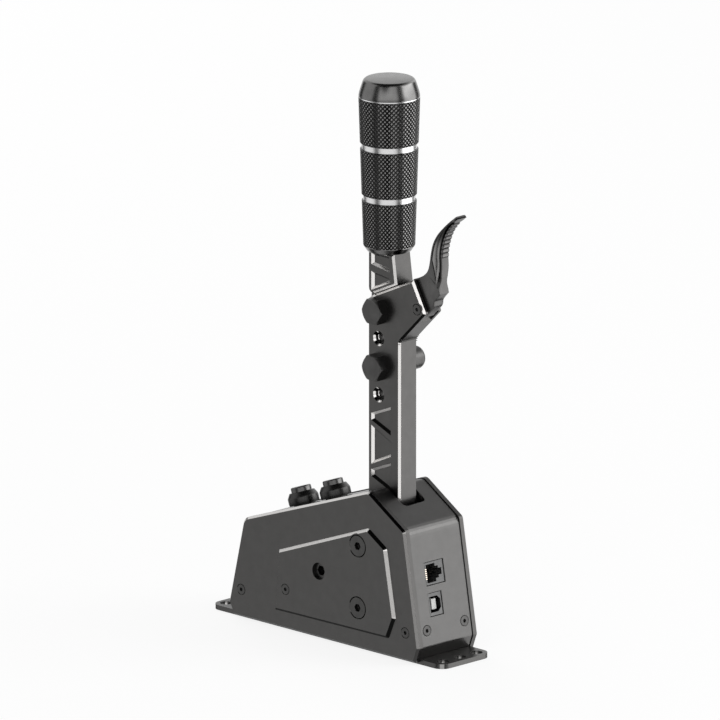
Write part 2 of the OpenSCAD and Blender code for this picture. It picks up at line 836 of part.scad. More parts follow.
module pivot_spacers() color("#a5a7a9") {
    spacer_y = hub_y + bush_flange_t + free_gap;
    both_sides()
        on_side(pivot_x, pivot_z, spacer_y)
            difference() {
                cylinder(h = half_w - spacer_y, r = spacer_r);
                translate([0, 0, -over])
                    cylinder(h = half_w - spacer_y + 2 * over, r = shaft_r + screw_gap);
            }
}

module shaft_screws() {
    big_screw_places()
        flat_screw(big_head_r - screw_gap, big_shank_r, big_screw_l, big_key_r);
}

module shaft_screws_right() color("#3c3c3b") shaft_screws();

module shaft_screws_left() color("#3c3c3b") mirror([0, 1, 0]) shaft_screws();

module side_screws()
    small_screw_places()
        flat_screw(small_head_r - screw_gap, small_shank_r, small_screw_l, small_key_r);

module side_screws_right() color("#3c3c3b") side_screws();

module side_screws_left() color("#3c3c3b") mirror([0, 1, 0]) side_screws();

// Hollow screws in the side plates that set how hard the tips press on the arm
module adjuster_screws() color("#2e2e2d")
    both_sides()
        on_side(adjuster.x, adjuster.y, panel_y - adjuster_sink)
            difference() {
                translate([0, 0, -adjuster_l]) cylinder(h = adjuster_l, r = adjuster_r);
                translate([0, 0, -adjuster_key_l])
                    cylinder(h = adjuster_key_l + over, r = adjuster_key_r, $fn = 6);
                translate([0, 0, -adjuster_l - over])
                    cylinder(h = adjuster_bore_l + over, r = tip_r + screw_gap);
            }

module adjuster_tips() color("#c8a24a") {
    tip_y = arm_w / 2 + free_gap;
    both_sides()
        on_side(adjuster.x, adjuster.y, tip_y)
            cylinder(h = panel_y - adjuster_sink - adjuster_l + tip_sink - tip_y, r = tip_r);
}

module circuit_board() color("#1f5a38") {
    front = [for (z = [board_z0, board_slant_z])
        [x_at(cover_inner[2], cover_inner[3], z) - board_edge, z]];
    pts = concat([[board_x0, board_z0]], front, [[board_slant_x, board_z1],
        [sensor_x - sensor_room.x, board_z1], [sensor_x - sensor_room.x, sensor_z - sensor_room.y],
        [board_x0, board_notch_z]]);
    difference() {
        translate([0, -board_y, 0]) rotate([90, 0, 0]) linear_extrude(board_t) polygon(pts);
        standoff_places(half_w)
            translate([0, 0, -2 * half_w]) cylinder(h = 2 * half_w, r = board_screw_r + 0.1);
    }
}

module standoff_places(y)
    for (at = standoffs)
        on_side(at.x, at.y, y)
            children();

module board_standoffs() color("#b08d3c")
    difference() {
        standoff_places(board_y + board_t)
            cylinder(h = half_w - board_y - board_t, r = standoff_r, $fn = 6);
        standoff_places(board_y + board_t - over)
            cylinder(h = board_screw_l + 1 + over, r = board_screw_r + screw_gap);
    }

module board_screws() color("#c9cbcd")
    standoff_places(board_y) {
        cylinder(h = board_t + board_screw_l, r = board_screw_r);
        translate([0, 0, -board_screw_head.y])
            cylinder(h = board_screw_head.y, r = board_screw_head.x);
    }

module modular_jack() color("#1b1b1b")
    on_front(-board_y, jack_s)
        difference() {
            translate([-port_sink - jack_d, 0, -jack_h / 2]) cube([jack_d, jack_w, jack_h]);
            jack_opening(jack_d - jack_back);
        }

// Stepped opening of the jack: full width for the plug, narrower for its latch
module jack_opening(depth) {
    for (step = jack_steps)
        translate([-port_sink - depth, jack_wall, -step.y / 2])
            cube([depth + over, step.x, step.y]);
}

module jack_contacts() color("#d4a72c")
    on_front(-board_y, jack_s)
        for (k = [-2.5:2.5])
            translate([-port_sink - contact_in, jack_wall, (k - 0.2) * contact_pitch])
                cube([contact_l, contact_t, 0.4 * contact_pitch]);

module usb_shell() color("#3f4041")
    on_front(-board_y, usb_s)
        difference() {
            translate([-port_sink - usb_d, 0, -usb_h / 2]) cube([usb_d, usb_w, usb_h]);
            translate([-port_sink - usb_bore_d, usb_wall, 0])
                rotate([0, 90, 0])
                    linear_extrude(usb_bore_d + over)
                        polygon([[-usb_half, 0], [usb_half, 0], [usb_half, usb_upright],
                            [usb_narrow, usb_mouth_w], [-usb_narrow, usb_mouth_w],
                            [-usb_half, usb_upright]]);
        }

module usb_insert() color("#d9dad6")
    on_front(-board_y, usb_s)
        translate([-port_sink - usb_bore_d, usb_tongue_y, -usb_tongue.z / 2])
            cube(usb_tongue);

module hall_sensor() color("#202020")
    on_side(sensor_x, sensor_z, board_y - sensor_size.y)
        translate([-sensor_size.x / 2, -sensor_size.z / 2, 0])
            cube([sensor_size.x, sensor_size.z, sensor_size.y]);

// Collar above the cover and threaded barrel below it
module button_bezel() {
    difference() {
        rotate_extrude()
            polygon([[0, -barrel_l], [barrel_r, -barrel_l], [barrel_r, 0],
                [collar_r - collar_foot.x, 0], [collar_r, collar_foot.y],
                [collar_r, collar_h - collar_bevel.y],
                [collar_r - collar_bevel.x, collar_h], [0, collar_h]]);
        translate([0, 0, cap_floor]) cylinder(h = button_h, r = button_bore);
        translate([0, 0, -spring_room.y])
            cylinder(h = spring_room.y + over, r = stem_r + spring_room.x);
        translate([0, 0, -barrel_l - over])
            cylinder(h = barrel_l + over + switch_top + 0.1, r = switch_r + 0.1);
        translate([0, 0, -barrel_l]) cylinder(h = barrel_l, r = stem_r + stem_gap);
    }
}

module button_cap() {
    rotate_extrude()
        polygon([[0, -stem_l], [stem_r, -stem_l], [stem_r, cap_foot], [button_r, cap_foot],
            [button_r, button_h - cap_edge], [button_r - cap_edge, button_h], [0, button_h]]);
}

module button_spring() translate([0, 0, 0.1 - spring_room.y])
    coil(stem_r + 1, button_wire_r, 5, spring_room.y + cap_foot - 0.2);

module button_switch() {
    difference() {
        translate([0, 0, -barrel_l - switch_tail])
            cylinder(h = barrel_l + switch_tail + switch_top, r = switch_r);
        translate([0, 0, -stem_l - button_travel - 0.5])
            cylinder(h = stem_l + button_travel, r = stem_r + stem_gap);
    }
    for (y = [-2, 2])
        translate([-switch_pin.x / 2, y - switch_pin.y / 2, -barrel_l - switch_tail - switch_pin.z])
            cube(switch_pin + [0, 0, 0.5]);
}

module button_bezel_rear() color("#2a2a29") on_button(false) button_bezel();

module button_bezel_front() color("#2a2a29") on_button(true) button_bezel();

module button_cap_rear() color("#343433") on_button(false) button_cap();

module button_cap_front() color("#343433") on_button(true) button_cap();

module button_spring_rear() color("#c9cbcd") on_button(false) button_spring();

module button_spring_front() color("#c9cbcd") on_button(true) button_spring();

module button_switch_rear() color("#1e1e1e") on_button(false) button_switch();

module button_switch_front() color("#1e1e1e") on_button(true) button_switch();

module button_nuts() color("#9a9c9e")
    for (front = [false, true])
        on_button(front)
            translate([0, 0, -cover_t - barrel_nut.y])
                difference() {
                    cylinder(h = barrel_nut.y, r = barrel_r + barrel_nut.x, $fn = 6);
                    translate([0, 0, -over])
                        cylinder(h = barrel_nut.y + 2 * over, r = barrel_r + screw_gap);
                }

// Leads from the switches to the circuit board, along the right side plate
module button_leads() color("#262626") {
    lead(spline([[-31, -4.6, 52.6], [-30, -9, 52], [-24, -12.5, 55], [-10, -13.2, 60],
        [10, -13.6, 67], [26, -13.6, 70.6], [36, -13.2, 71.8], [40, -12.6, 71]], 3),
        0.9, [0.2, 1, 0.1]);
}

module centring_spring_lower() color("#c9cbcd")
    translate([spring_x, 0, seat_low_z + 0.05])
        coil(spring_r, spring_wire_r, 4, arm_z0 - seat_low_z - 0.1);

module centring_spring_upper() color("#c9cbcd")
    translate([spring_x, 0, arm_z1 + 0.05])
        coil(spring_r, spring_wire_r, 4, seat_high_z - arm_z1 - 0.1);

module pivot_hub() color("#8f9193")
    difference() {
        union() {
            on_side(pivot_x, pivot_z, -hub_y) cylinder(h = 2 * hub_y, r = hub_r);
            upright(soften([[stick_foot_x + 1.5, pivot_z], [lever_x1 - 1, pivot_z],
                [lever_x1 - 1, cheek_z], [stick_foot_x + 1.5, cheek_z]], [0, 0, 2, 2]),
                2 * hub_y);
            upright(soften([[arm_x, arm_z0], [arm_bend_x, arm_z0],
                [arm_web_x, arm_z0 - arm_web_drop], [arm_root_x, arm_root_z[0]],
                [arm_root_x, arm_root_z[1]], [arm_top_x, arm_z1], [arm_x, arm_z1]],
                [1.5, 0, 3, 0, 0, 3, 1.5]), arm_w);
            spring_peg(arm_z1, 1);
            spring_peg(arm_z0, -1);
        }
        on_side(pivot_x, pivot_z, -hub_y - over)
            cylinder(h = 2 * hub_y + 2 * over, r = bush_r + screw_gap);
        translate([stick_foot_x - 5, -half_t, stick_foot_z])
            cube([lever_d + 20, lever_t, 30]);
        hub_bolt_places(-hub_y - over)
            cylinder(h = 2 * hub_y + 2 * over, r = hub_bolt_r + screw_gap);
    }

module hub_bolt_places(y)
    for (x = hub_bolt_x)
        on_side(x, hub_bolt_z, y)
            children();

module hub_bolts() color("#2e2e2d") {
    hub_bolt_places(-hub_y) cylinder(h = 2 * hub_y, r = hub_bolt_r);
    hub_bolt_places(hub_y)
        difference() {
            cylinder(h = hub_bolt_head_h, r = hub_bolt_head_r);
            translate([0, 0, hub_bolt_head_h - hub_bolt_key.y])
                cylinder(h = hub_bolt_head_h, r = hub_bolt_key.x, $fn = 6);
        }
    hub_bolt_places(-hub_y - hub_bolt_head_h)
        cylinder(h = hub_bolt_head_h, r = hub_bolt_head_r, $fn = 6);
}

module pivot_bushes() color("#b08d3c")
    both_sides()
        on_side(pivot_x, pivot_z, hub_y - bush_l)
            difference() {
                union() {
                    cylinder(h = bush_l, r = bush_r);
                    translate([0, 0, bush_l]) cylinder(h = bush_flange_t, r = bush_flange_r);
                }
                translate([0, 0, -over])
                    cylinder(h = bush_l + bush_flange_t + 2 * over, r = shaft_r + run_gap);
            }

module sensor_magnet() color("#9fa2a5")
    on_side(sensor_x, sensor_z, half_t - magnet_h)
        cylinder(h = magnet_h, r = magnet_r);

// Milled pocket in the stick's side with sloping walls, cut from the outline of its mouth
module pocket(pts)
    on_side(0, 0, half_t)
        mirror([0, 0, 1])
            difference() {
                translate([0, 0, -over]) linear_extrude(pocket_depth + over) polygon(pts);
                translate([0, 0, pocket_depth]) bevel_cuts(pts, pocket_depth - pocket_lip);
            }

// Pocket of the zigzag pattern, wide at one edge of the stick and narrow at the other
module truss_pocket(z, half)
    pocket([[pocket_x[0], z - half[0]], [pocket_x[1], z - half[1]],
        [pocket_x[1], z + half[1]], [pocket_x[0], z + half[0]]]);

module clamp_holes(count, y, chamfer)
    for (k = [0:count - 1])
        on_side(clamp_x, clamp_z + k * clamp_pitch, 0) {
            translate([0, 0, -y - over]) cylinder(h = 2 * y + 2 * over, r = clamp_hole_r);
            for (side = [0, 1])
                mirror([0, 0, side])
                    translate([0, 0, y - chamfer])
                        cylinder(h = chamfer + 0.02, r1 = clamp_hole_r,
                            r2 = clamp_hole_r + chamfer);
        }

module lower_stick() color("#4b4b48") {
    difference() {
        bar(soften(stick_pts, stick_radii, 3), half_t, lever_chamfer);
        upright([[lever_x0 - 5, fork_z], [fork_front_x, fork_z],
            [fork_front_x, web_z(fork_front_x)], [slot_end_x, web_z(slot_end_x)],
            [slot_end_x + web_t, bracket_low.y], [fork_far_x, bracket_low.y],
            [fork_far_x, fork_top_z], [lever_x0 - 5, fork_top_z]], fork_w);
        on_side(trigger_x, trigger_z, -fork_w / 2)
            cylinder(h = fork_w, r = trigger_hub_r + free_gap);
        clamp_holes(4, half_t, 1);
        both_sides() {
            for (k = [0, 1])
                truss_pocket(truss_z - k * truss_pitch, truss_narrow);
            truss_pocket(truss_z - truss_pitch / 2, truss_wide);
        }
        trigger_screw_cut();
        stop_window();
        hub_bolt_places(-half_t - over)
            cylinder(h = lever_t + 2 * over, r = hub_bolt_r + screw_gap);
        on_side(sensor_x, sensor_z, half_t - magnet_h - screw_gap)
            cylinder(h = magnet_h + over, r = magnet_r + screw_gap);
        translate([lead_x, 0, lead_exit_z])
            cylinder(h = fork_z - lead_exit_z + over, r = lead_bore_r);
        translate([lead_x, 0, lead_exit_z + 0.6])
            rotate([0, 135, 0])
                translate([0, 0, -0.6])
                    cylinder(h = 12, r = lead_bore_r);
    }
}

module stop_window() {
    run = window_rx - window_rz;
    for (x = [-run, run])
        on_side(pivot_x + x, stop_z, -half_t - over)
            cylinder(h = lever_t + 2 * over, r = window_rz);
    translate([pivot_x - run, -half_t - over, stop_z - window_rz])
        cube([2 * run, lever_t + 2 * over, 2 * window_rz]);
}

module upper_stick() color("#4b4b48") {
    difference() {
        union() {
            bar(soften(upper_pts, [3, 0, 0, 0], 4), half_t, lever_chamfer);
            upright([[lever_x0, tongue_z], [tongue_front_x, tongue_z],
                shoulder(tongue_front_x) + [0, 2], shoulder(lever_x0 + 3) + [0, 2],
                [lever_x0, bracket_rear.y]], tongue_t);
        }
        clamp_holes(4, tongue_t / 2, 0.3);
        both_sides()
            for (pts = upper_pockets)
                pocket(pts);
        translate([grip_x, 0, grip_z0 - stud_sink - screw_gap])
            cylinder(h = stud_sink + 2 * over, r = stud_r + screw_gap);
    }
}

module clamp_places(y)
    for (k = [1, 3])
        on_side(clamp_x, clamp_z + k * clamp_pitch, y)
            children();

module clamp_bolts() color("#333332") {
    clamp_places(-half_t - 10) cylinder(h = lever_t + 10, r = clamp_bolt_r);
    clamp_places(half_t)
        intersection() {
            cylinder(h = bolt_head_h, r = bolt_af / sqrt(3), $fn = 6);
            rotate_extrude()
                polygon([[0, 0], [bolt_af * 0.6, 0], [bolt_af * 0.6, bolt_head_h - 0.9],
                    [bolt_af / 2 - 0.1, bolt_head_h], [0, bolt_head_h]]);
        }
}

module clamp_nuts() color("#3a3a39")
    clamp_places(-half_t - nut_l)
        difference() {
            rotate_extrude()
                polygon([[0, 0], [nut_r - 1.6, 0], [nut_r - 0.5, 0.5], [nut_r, 1.6],
                    [nut_r, nut_l - 0.5], [nut_r - 0.5, nut_l], [0, nut_l]]);
            translate([0, 0, nut_l - 10.5])
                cylinder(h = 10.5 + over, r = clamp_bolt_r + screw_gap);
        }

module trigger() color("#3f3f3d")
    difference() {
        union() {
            upright(trigger_pts, trigger_t);
            on_side(trigger_x, trigger_z, -trigger_t / 2)
                cylinder(h = trigger_t, r = trigger_hub_r);
            for (k = [0:rib_count - 1])
                translate(rib_place(k)) rotate([90, 0, 0])
                    cylinder(h = trigger_t - 1.4, r = rib_r, center = true, $fn = 16);
        }
        on_side(trigger_x, trigger_z, -trigger_t / 2 - over)
            cylinder(h = trigger_t + 2 * over, r = trigger_pin_r + run_gap);
    }

function rib_place(k) = let (n = len(rib_path) - 1, at = k * n / (rib_count - 1))
    let (i = min(floor(at), n - 1), p = rib_path[i] * (1 - at + i) + rib_path[i + 1] * (at - i))
    [p.x, 0, p.y];

module trigger_screw_cut() {
    on_side(trigger_x, trigger_z, half_t)
        flat_screw_cut(trigger_head_r, trigger_pin_r, lever_t + over);
}

module trigger_screw() color("#3c3c3b")
    on_side(trigger_x, trigger_z, half_t)
        flat_screw(trigger_head_r - screw_gap, trigger_pin_r, lever_t - free_gap, small_key_r);

module trigger_spring() color("#c9cbcd") {
    // The coil stands on the web at its lower side and ends under the trigger's tail
    foot_z = web_z(pull_spring_x + pull_spring_r + pull_wire_r) + 0.1;
    head_z = z_at(tail_tip, tail_front, pull_spring_x) - free_gap - 0.1;
    translate([pull_spring_x, 0, foot_z])
        coil(pull_spring_r, pull_wire_r, 5, head_z - foot_z);
}

module trigger_switch() color("#1e1e1e") {
    top = plunger_z - plunger_h;
    upright([[switch_x[0], web_z(switch_x[0]) + 0.1], [switch_x[1], web_z(switch_x[1]) + 0.1],
        [switch_x[1], top], [switch_x[0], top]], switch_w);
    translate([(switch_x[0] + switch_x[1]) / 2, 0, top - over])
        cylinder(h = plunger_h + over, r = plunger_r);
}

// Lead from the trigger's switch down through the stick to the circuit board
module trigger_lead() color("#262626")
    lead(concat([[switch_x[0] - 0.05, 0, lead_top_z], [switch_x[0] - 0.8, 0, lead_top_z],
        [lead_x + 0.5, 0, lead_top_z - 1.2], [lead_x, 0, lead_top_z - 3.8],
        [lead_x, 0, (lead_top_z + lead_exit_z) / 2], [lead_x, 0, lead_exit_z + 2.2]],
        spline([[39.3, 0, 75.6], [43, 0, 71.9], [46, -2.5, 69.4], [48.6, -6, 68.6],
            [49.8, -9, 68.4]], 3), [[49.8, -board_y + 0.05, 68.4]]), lead_r, [0.1, 0, 1]);

module grip_stud() color("#b9bbbd")
    translate([grip_x, 0, grip_z0 - stud_sink])
        cylinder(h = stud_sink + stud_rise, r = stud_r);

module grip_core() color("#8a8c8e")
    translate([grip_x, 0, 0])
        difference() {
            translate([0, 0, grip_z0]) cylinder(h = core_top - grip_z0, r = core_r);
            translate([0, 0, grip_z0 - over])
                cylinder(h = stud_rise + over + 0.2, r = stud_r + screw_gap);
        }

// One turned piece of the grip with its outline given as radius and height
module turned(pts, z0, z1)
    translate([grip_x, 0, 0])
        difference() {
            rotate_extrude($fn = 96) polygon(pts);
            translate([0, 0, z0]) cylinder(h = z1 - z0, r = core_r + screw_gap);
        }

// Knurled sleeve between two heights, with a narrow bevel at each end
module sleeve(z0, z1)
    turned([[0, z0], [grip_r(z0) - sleeve_edge.x, z0], [grip_r(z0), z0 + sleeve_edge.y],
        [grip_r(z1), z1 - sleeve_edge.y], [grip_r(z1) - sleeve_edge.x, z1], [0, z1]],
        z0 - over, z1 + over);

module grip_sleeve_lower() color("#2c2c2b")
    turned([[0, grip_z0], [grip_rim_r, grip_z0], [grip_rim_r + 1.2, grip_z0 + 0.6],
        [grip_r0, bevel_z], [grip_r(ring_low_z), ring_low_z - sleeve_edge.y],
        [grip_r(ring_low_z) - sleeve_edge.x, ring_low_z], [0, ring_low_z]],
        grip_z0 - over, ring_low_z + over);

module grip_sleeve_middle() color("#2c2c2b") sleeve(ring_low_z + ring_h, ring_high_z);

module grip_sleeve_upper() color("#2c2c2b") sleeve(ring_high_z + ring_h, thin_ring_z);

module ring(z, h, drop)
    turned([[0, z], [grip_r(z) - drop, z], [grip_r(z + h) - drop, z + h], [0, z + h]],
        z - over, z + h + over);

module grip_rings() color("#d6d8da") {
    ring(ring_low_z, ring_h, ring_drop);
    ring(ring_high_z, ring_h, ring_drop);
    ring(thin_ring_z, thin_ring_h, thin_ring_drop);
}

module grip_cap() color("#3a3a39")
    turned([[0, cap_z], [grip_r1 - 0.1, cap_z], [grip_r1 - 0.2, cap_z + 0.8],
        [grip_r1 - 1.15, cap_z + 4.1], [cap_flat_r + 0.5, grip_z1 - 0.5],
        [cap_flat_r, grip_z1], [0, grip_z1]], cap_z - over, core_top + 0.1);

base_plate();
side_plate_right();
side_plate_left();
top_cover();
front_block();
rear_block();
spring_frame();
pivot_shaft();
pivot_spacers();
stop_pin();
stop_sleeve();
shaft_screws_right();
shaft_screws_left();
side_screws_right();
side_screws_left();
cover_screws();
base_screws();
adjuster_screws();
adjuster_tips();
circuit_board();
board_standoffs();
board_screws();
modular_jack();
jack_contacts();
usb_shell();
usb_insert();
hall_sensor();
button_bezel_rear();
button_bezel_front();
button_switch_rear();
button_switch_front();
button_spring_rear();
button_spring_front();
button_nuts();
button_cap_rear();
button_cap_front();
button_leads();
centring_spring_lower();
centring_spring_upper();
lower_stick();
pivot_hub();
hub_bolts();
pivot_bushes();
sensor_magnet();
upper_stick();
clamp_bolts();
clamp_nuts();
trigger();
trigger_screw();
trigger_spring();
trigger_switch();
trigger_lead();
grip_stud();
grip_core();
grip_sleeve_lower();
grip_sleeve_middle();
grip_sleeve_upper();
grip_rings();
grip_cap();
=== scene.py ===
# Looks of the sequential gear shifter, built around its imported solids.
# Metres throughout. X points forward, Y left and Z up, as in the part.
import json
import math

import bmesh
import bpy
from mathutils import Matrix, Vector


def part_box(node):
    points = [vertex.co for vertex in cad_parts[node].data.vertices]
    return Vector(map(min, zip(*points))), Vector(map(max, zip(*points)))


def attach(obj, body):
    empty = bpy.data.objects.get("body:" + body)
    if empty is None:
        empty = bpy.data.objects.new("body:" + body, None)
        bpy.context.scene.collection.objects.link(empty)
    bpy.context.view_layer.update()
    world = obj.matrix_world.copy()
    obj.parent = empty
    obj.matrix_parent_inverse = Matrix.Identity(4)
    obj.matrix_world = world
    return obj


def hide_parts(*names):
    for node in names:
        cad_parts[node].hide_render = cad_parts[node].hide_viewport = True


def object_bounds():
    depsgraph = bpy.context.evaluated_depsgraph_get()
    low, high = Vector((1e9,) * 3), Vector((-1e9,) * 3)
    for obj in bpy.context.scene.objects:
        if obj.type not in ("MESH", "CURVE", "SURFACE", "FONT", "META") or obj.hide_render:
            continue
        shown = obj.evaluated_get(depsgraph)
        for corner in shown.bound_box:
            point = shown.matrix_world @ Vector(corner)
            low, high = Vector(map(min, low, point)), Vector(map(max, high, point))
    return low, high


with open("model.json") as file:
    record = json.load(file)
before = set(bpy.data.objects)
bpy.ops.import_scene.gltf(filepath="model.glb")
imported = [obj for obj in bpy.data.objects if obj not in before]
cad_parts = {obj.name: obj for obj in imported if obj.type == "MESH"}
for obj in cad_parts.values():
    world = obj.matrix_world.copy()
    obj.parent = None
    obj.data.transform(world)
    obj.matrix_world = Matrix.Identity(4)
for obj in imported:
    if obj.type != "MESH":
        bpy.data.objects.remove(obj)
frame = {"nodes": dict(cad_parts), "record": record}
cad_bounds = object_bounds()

MM = 0.001
SCENE = bpy.context.scene
NODES = frame["nodes"]


# Camera and studio

CAMERA_AZIMUTH = 45
CAMERA_ELEVATION = 15
CAMERA_LENS = 1200
CAMERA_SENSOR = 36
CAMERA_DISTANCE = 12.632
CAMERA_REACH = 50
LOOK_AT = Vector((3.4, 3.4, 148.8)) * MM
LAMP_TARGET = Vector((0, 0, 0.15))


def direction(azimuth, elevation):
    """Unit vector towards a viewer; azimuth 0 stands on the -Y side and 90 on the +X side."""
    a, e = math.radians(azimuth), math.radians(elevation)
    return Vector((math.sin(a) * math.cos(e), -math.cos(a) * math.cos(e), math.sin(e)))


def aim(obj, target):
    obj.rotation_euler = (obj.location - target).to_track_quat("Z", "Y").to_euler()


def make_camera():
    data = bpy.data.cameras.new("photo_camera")
    data.lens = CAMERA_LENS
    data.sensor_width = CAMERA_SENSOR
    data.clip_end = CAMERA_REACH
    camera = bpy.data.objects.new("photo_camera", data)
    camera.location = LOOK_AT + direction(CAMERA_AZIMUTH, CAMERA_ELEVATION) * CAMERA_DISTANCE
    aim(camera, LOOK_AT)
    SCENE.collection.objects.link(camera)
    SCENE.camera = camera


def make_lamp(name, azimuth, elevation, distance, size, watts):
    data = bpy.data.lights.new(name, "AREA")
    data.shape = "RECTANGLE"
    data.size, data.size_y = size
    data.energy = watts
    lamp = bpy.data.objects.new(name, data)
    lamp.location = LAMP_TARGET + direction(azimuth, elevation) * distance
    aim(lamp, LAMP_TARGET)
    lamp.visible_glossy = False
    lamp.visible_camera = False
    SCENE.collection.objects.link(lamp)


# Node helpers

def add(tree, kind, inputs=None, **settings):
    """A node of that kind; inputs are values or sockets by the input's name or number."""
    node = tree.nodes.new(kind)
    for key, value in settings.items():
        setattr(node, key, value)
    for key, value in (inputs or {}).items():
        socket = node.inputs[key]
        if isinstance(value, bpy.types.NodeSocket):
            tree.links.new(value, socket)
        else:
            socket.default_value = value
    return node


def maths(tree, operation, a, b=0.0):
    return add(tree, "ShaderNodeMath", {0: a, 1: b}, operation=operation).outputs[0]


def span(tree, value, low, high, to_low=0.0, to_high=1.0, smooth=False):
    """The value mapped from one range to another, and clamped."""
    node = add(tree, "ShaderNodeMapRange", {"Value": value, "From Min": low, "From Max": high,
                                            "To Min": to_low, "To Max": to_high})
    if smooth:
        node.interpolation_type = "SMOOTHSTEP"
    return node.outputs["Result"]


def blend_colour(tree, factor, a, b):
    node = add(tree, "ShaderNodeMix", data_type="RGBA")
    for key, value in ((0, factor), (6, a), (7, b)):
        if isinstance(value, bpy.types.NodeSocket):
            tree.links.new(value, node.inputs[key])
        else:
            node.inputs[key].default_value = value
    return node.outputs[2]


def grey(value, warm=0.0):
    return (value * (1 + warm), value, value * (1 - warm), 1)


def background_rays(tree):
    """1 for camera, glossy and transmission rays, which see the plain white studio."""
    path = add(tree, "ShaderNodeLightPath")
    seen = maths(tree, "MAXIMUM", path.outputs["Is Camera Ray"], path.outputs["Is Glossy Ray"])
    return path, maths(tree, "MAXIMUM", seen, path.outputs["Is Transmission Ray"])


def window(tree, value, rise_from, rise_to, fall_from, fall_to):
    """1 inside a range of the value, with a ramp at each end, and 0 outside."""
    return maths(tree, "MINIMUM", span(tree, value, rise_from, rise_to, smooth=True),
                 span(tree, value, fall_from, fall_to, 1.0, 0.0, smooth=True))


def near(tree, way, towards, inner, outer):
    """1 within the inner angle of a direction and 0 outside the outer one, both in degrees."""
    dot = add(tree, "ShaderNodeVectorMath", {0: way, 1: tuple(Vector(towards).normalized())},
              operation="DOT_PRODUCT").outputs["Value"]
    low, high = math.cos(math.radians(outer)), math.cos(math.radians(inner))
    return span(tree, dot, low, high, smooth=True)


def beside(tree, level, degrees, inner, outer):
    """The same for a level direction at an angle from +X towards +Y."""
    a = math.radians(degrees)
    return near(tree, level, (math.cos(a), math.sin(a), 0), inner, outer)


def gain(tree, mask, factor):
    """The factor where the mask is 1, and 1 where it is 0."""
    return maths(tree, "ADD", maths(tree, "MULTIPLY", mask, factor - 1), 1.0)


def studio_glow(tree):
    """How bright the studio is in a reflection: white panels, dark gaps and a dark roof."""
    way = add(tree, "ShaderNodeTexCoord").outputs["Generated"]
    height = add(tree, "ShaderNodeSeparateXYZ", {0: way}).outputs["Z"]
    level = add(tree, "ShaderNodeVectorMath", {0: way, 1: (1, 1, 0)}, operation="MULTIPLY")
    level = add(tree, "ShaderNodeVectorMath", {0: level.outputs[0]}, operation="NORMALIZE")
    level = level.outputs[0]

    ahead = maths(tree, "SUBTRACT", 1.0, beside(tree, level, REAR_WAY, *REAR_SPREAD))
    high = maths(tree, "MULTIPLY", window(tree, height, *HIGH_BAND), ahead)
    lobe = maths(tree, "MULTIPLY", beside(tree, level, FRONT_WAY, *FRONT_SPREAD),
                 window(tree, height, *FRONT_BAND))
    bend = gain(tree, window(tree, height, *BEND_BAND), BEND_GLOW)
    lobe = maths(tree, "MULTIPLY", maths(tree, "MULTIPLY", lobe, bend), FRONT_GLOW)
    glow = maths(tree, "MAXIMUM", gain(tree, high, HIGH_GLOW), lobe)

    horizon = maths(tree, "MULTIPLY", window(tree, height, *HORIZON_BAND),
                    beside(tree, level, CAMERA_WAY, *HORIZON_SPREAD))
    glow = maths(tree, "MULTIPLY", glow, gain(tree, horizon, HORIZON_SHADE))
    dark = span(tree, height, ROOF_STARTS, ROOF_FULL, smooth=True)
    for gap, top, end in PANEL_GAPS:
        strip = maths(tree, "MULTIPLY", beside(tree, level, gap, *GAP_SPREAD),
                      span(tree, height, top, end, 1.0, 0.0, smooth=True))
        dark = maths(tree, "MAXIMUM", dark, strip)
    dark = maths(tree, "MAXIMUM", dark, near(tree, way, DARK_PATCH, *DARK_SPREAD))
    return maths(tree, "MULTIPLY", glow, gain(tree, dark, GAP_SHADE))


def make_world():
    """White studio; only reflections see its panels, gaps and roof."""
    world = bpy.data.worlds.new("studio")
    SCENE.world = world
    world.use_nodes = True
    tree = world.node_tree
    tree.nodes.clear()
    path, seen = background_rays(tree)
    mirrored = maths(tree, "SUBTRACT", studio_glow(tree), 1.0)
    strength = add(tree, "ShaderNodeMath", {0: path.outputs["Is Glossy Ray"], 1: mirrored, 2: 1.0},
                   operation="MULTIPLY_ADD").outputs[0]
    shown = add(tree, "ShaderNodeBackground", {"Color": grey(1), "Strength": strength})
    light = add(tree, "ShaderNodeBackground", {"Color": grey(1), "Strength": WORLD_LIGHT})
    mixed = add(tree, "ShaderNodeMixShader", {0: seen, 1: light.outputs[0], 2: shown.outputs[0]})
    add(tree, "ShaderNodeOutputWorld", {"Surface": mixed.outputs[0]})


def make_floor():
    signs = ((-1, -1), (1, -1), (1, 1), (-1, 1))
    mesh = bpy.data.meshes.new("floor")
    mesh.from_pydata([(x * FLOOR_HALF, y * FLOOR_HALF, 0) for x, y in signs], [], [(0, 1, 2, 3)])
    floor = bpy.data.objects.new("floor", mesh)
    floor.location.z = cad_bounds[0][2] - FLOOR_DROP
    SCENE.collection.objects.link(floor)
    material = bpy.data.materials.new("floor_white")
    material.use_nodes = True
    tree = material.node_tree
    tree.nodes.clear()
    seen = background_rays(tree)[1]
    matt = add(tree, "ShaderNodeBsdfDiffuse", {"Color": grey(FLOOR_WHITE)})
    glow = add(tree, "ShaderNodeEmission", {"Color": grey(1), "Strength": 1.0})
    share = maths(tree, "MULTIPLY", seen, FLOOR_GLOW)
    mixed = add(tree, "ShaderNodeMixShader", {0: share, 1: matt.outputs[0], 2: glow.outputs[0]})
    add(tree, "ShaderNodeOutputMaterial", {"Surface": mixed.outputs[0]})
    mesh.materials.append(material)
    floor.visible_glossy = False


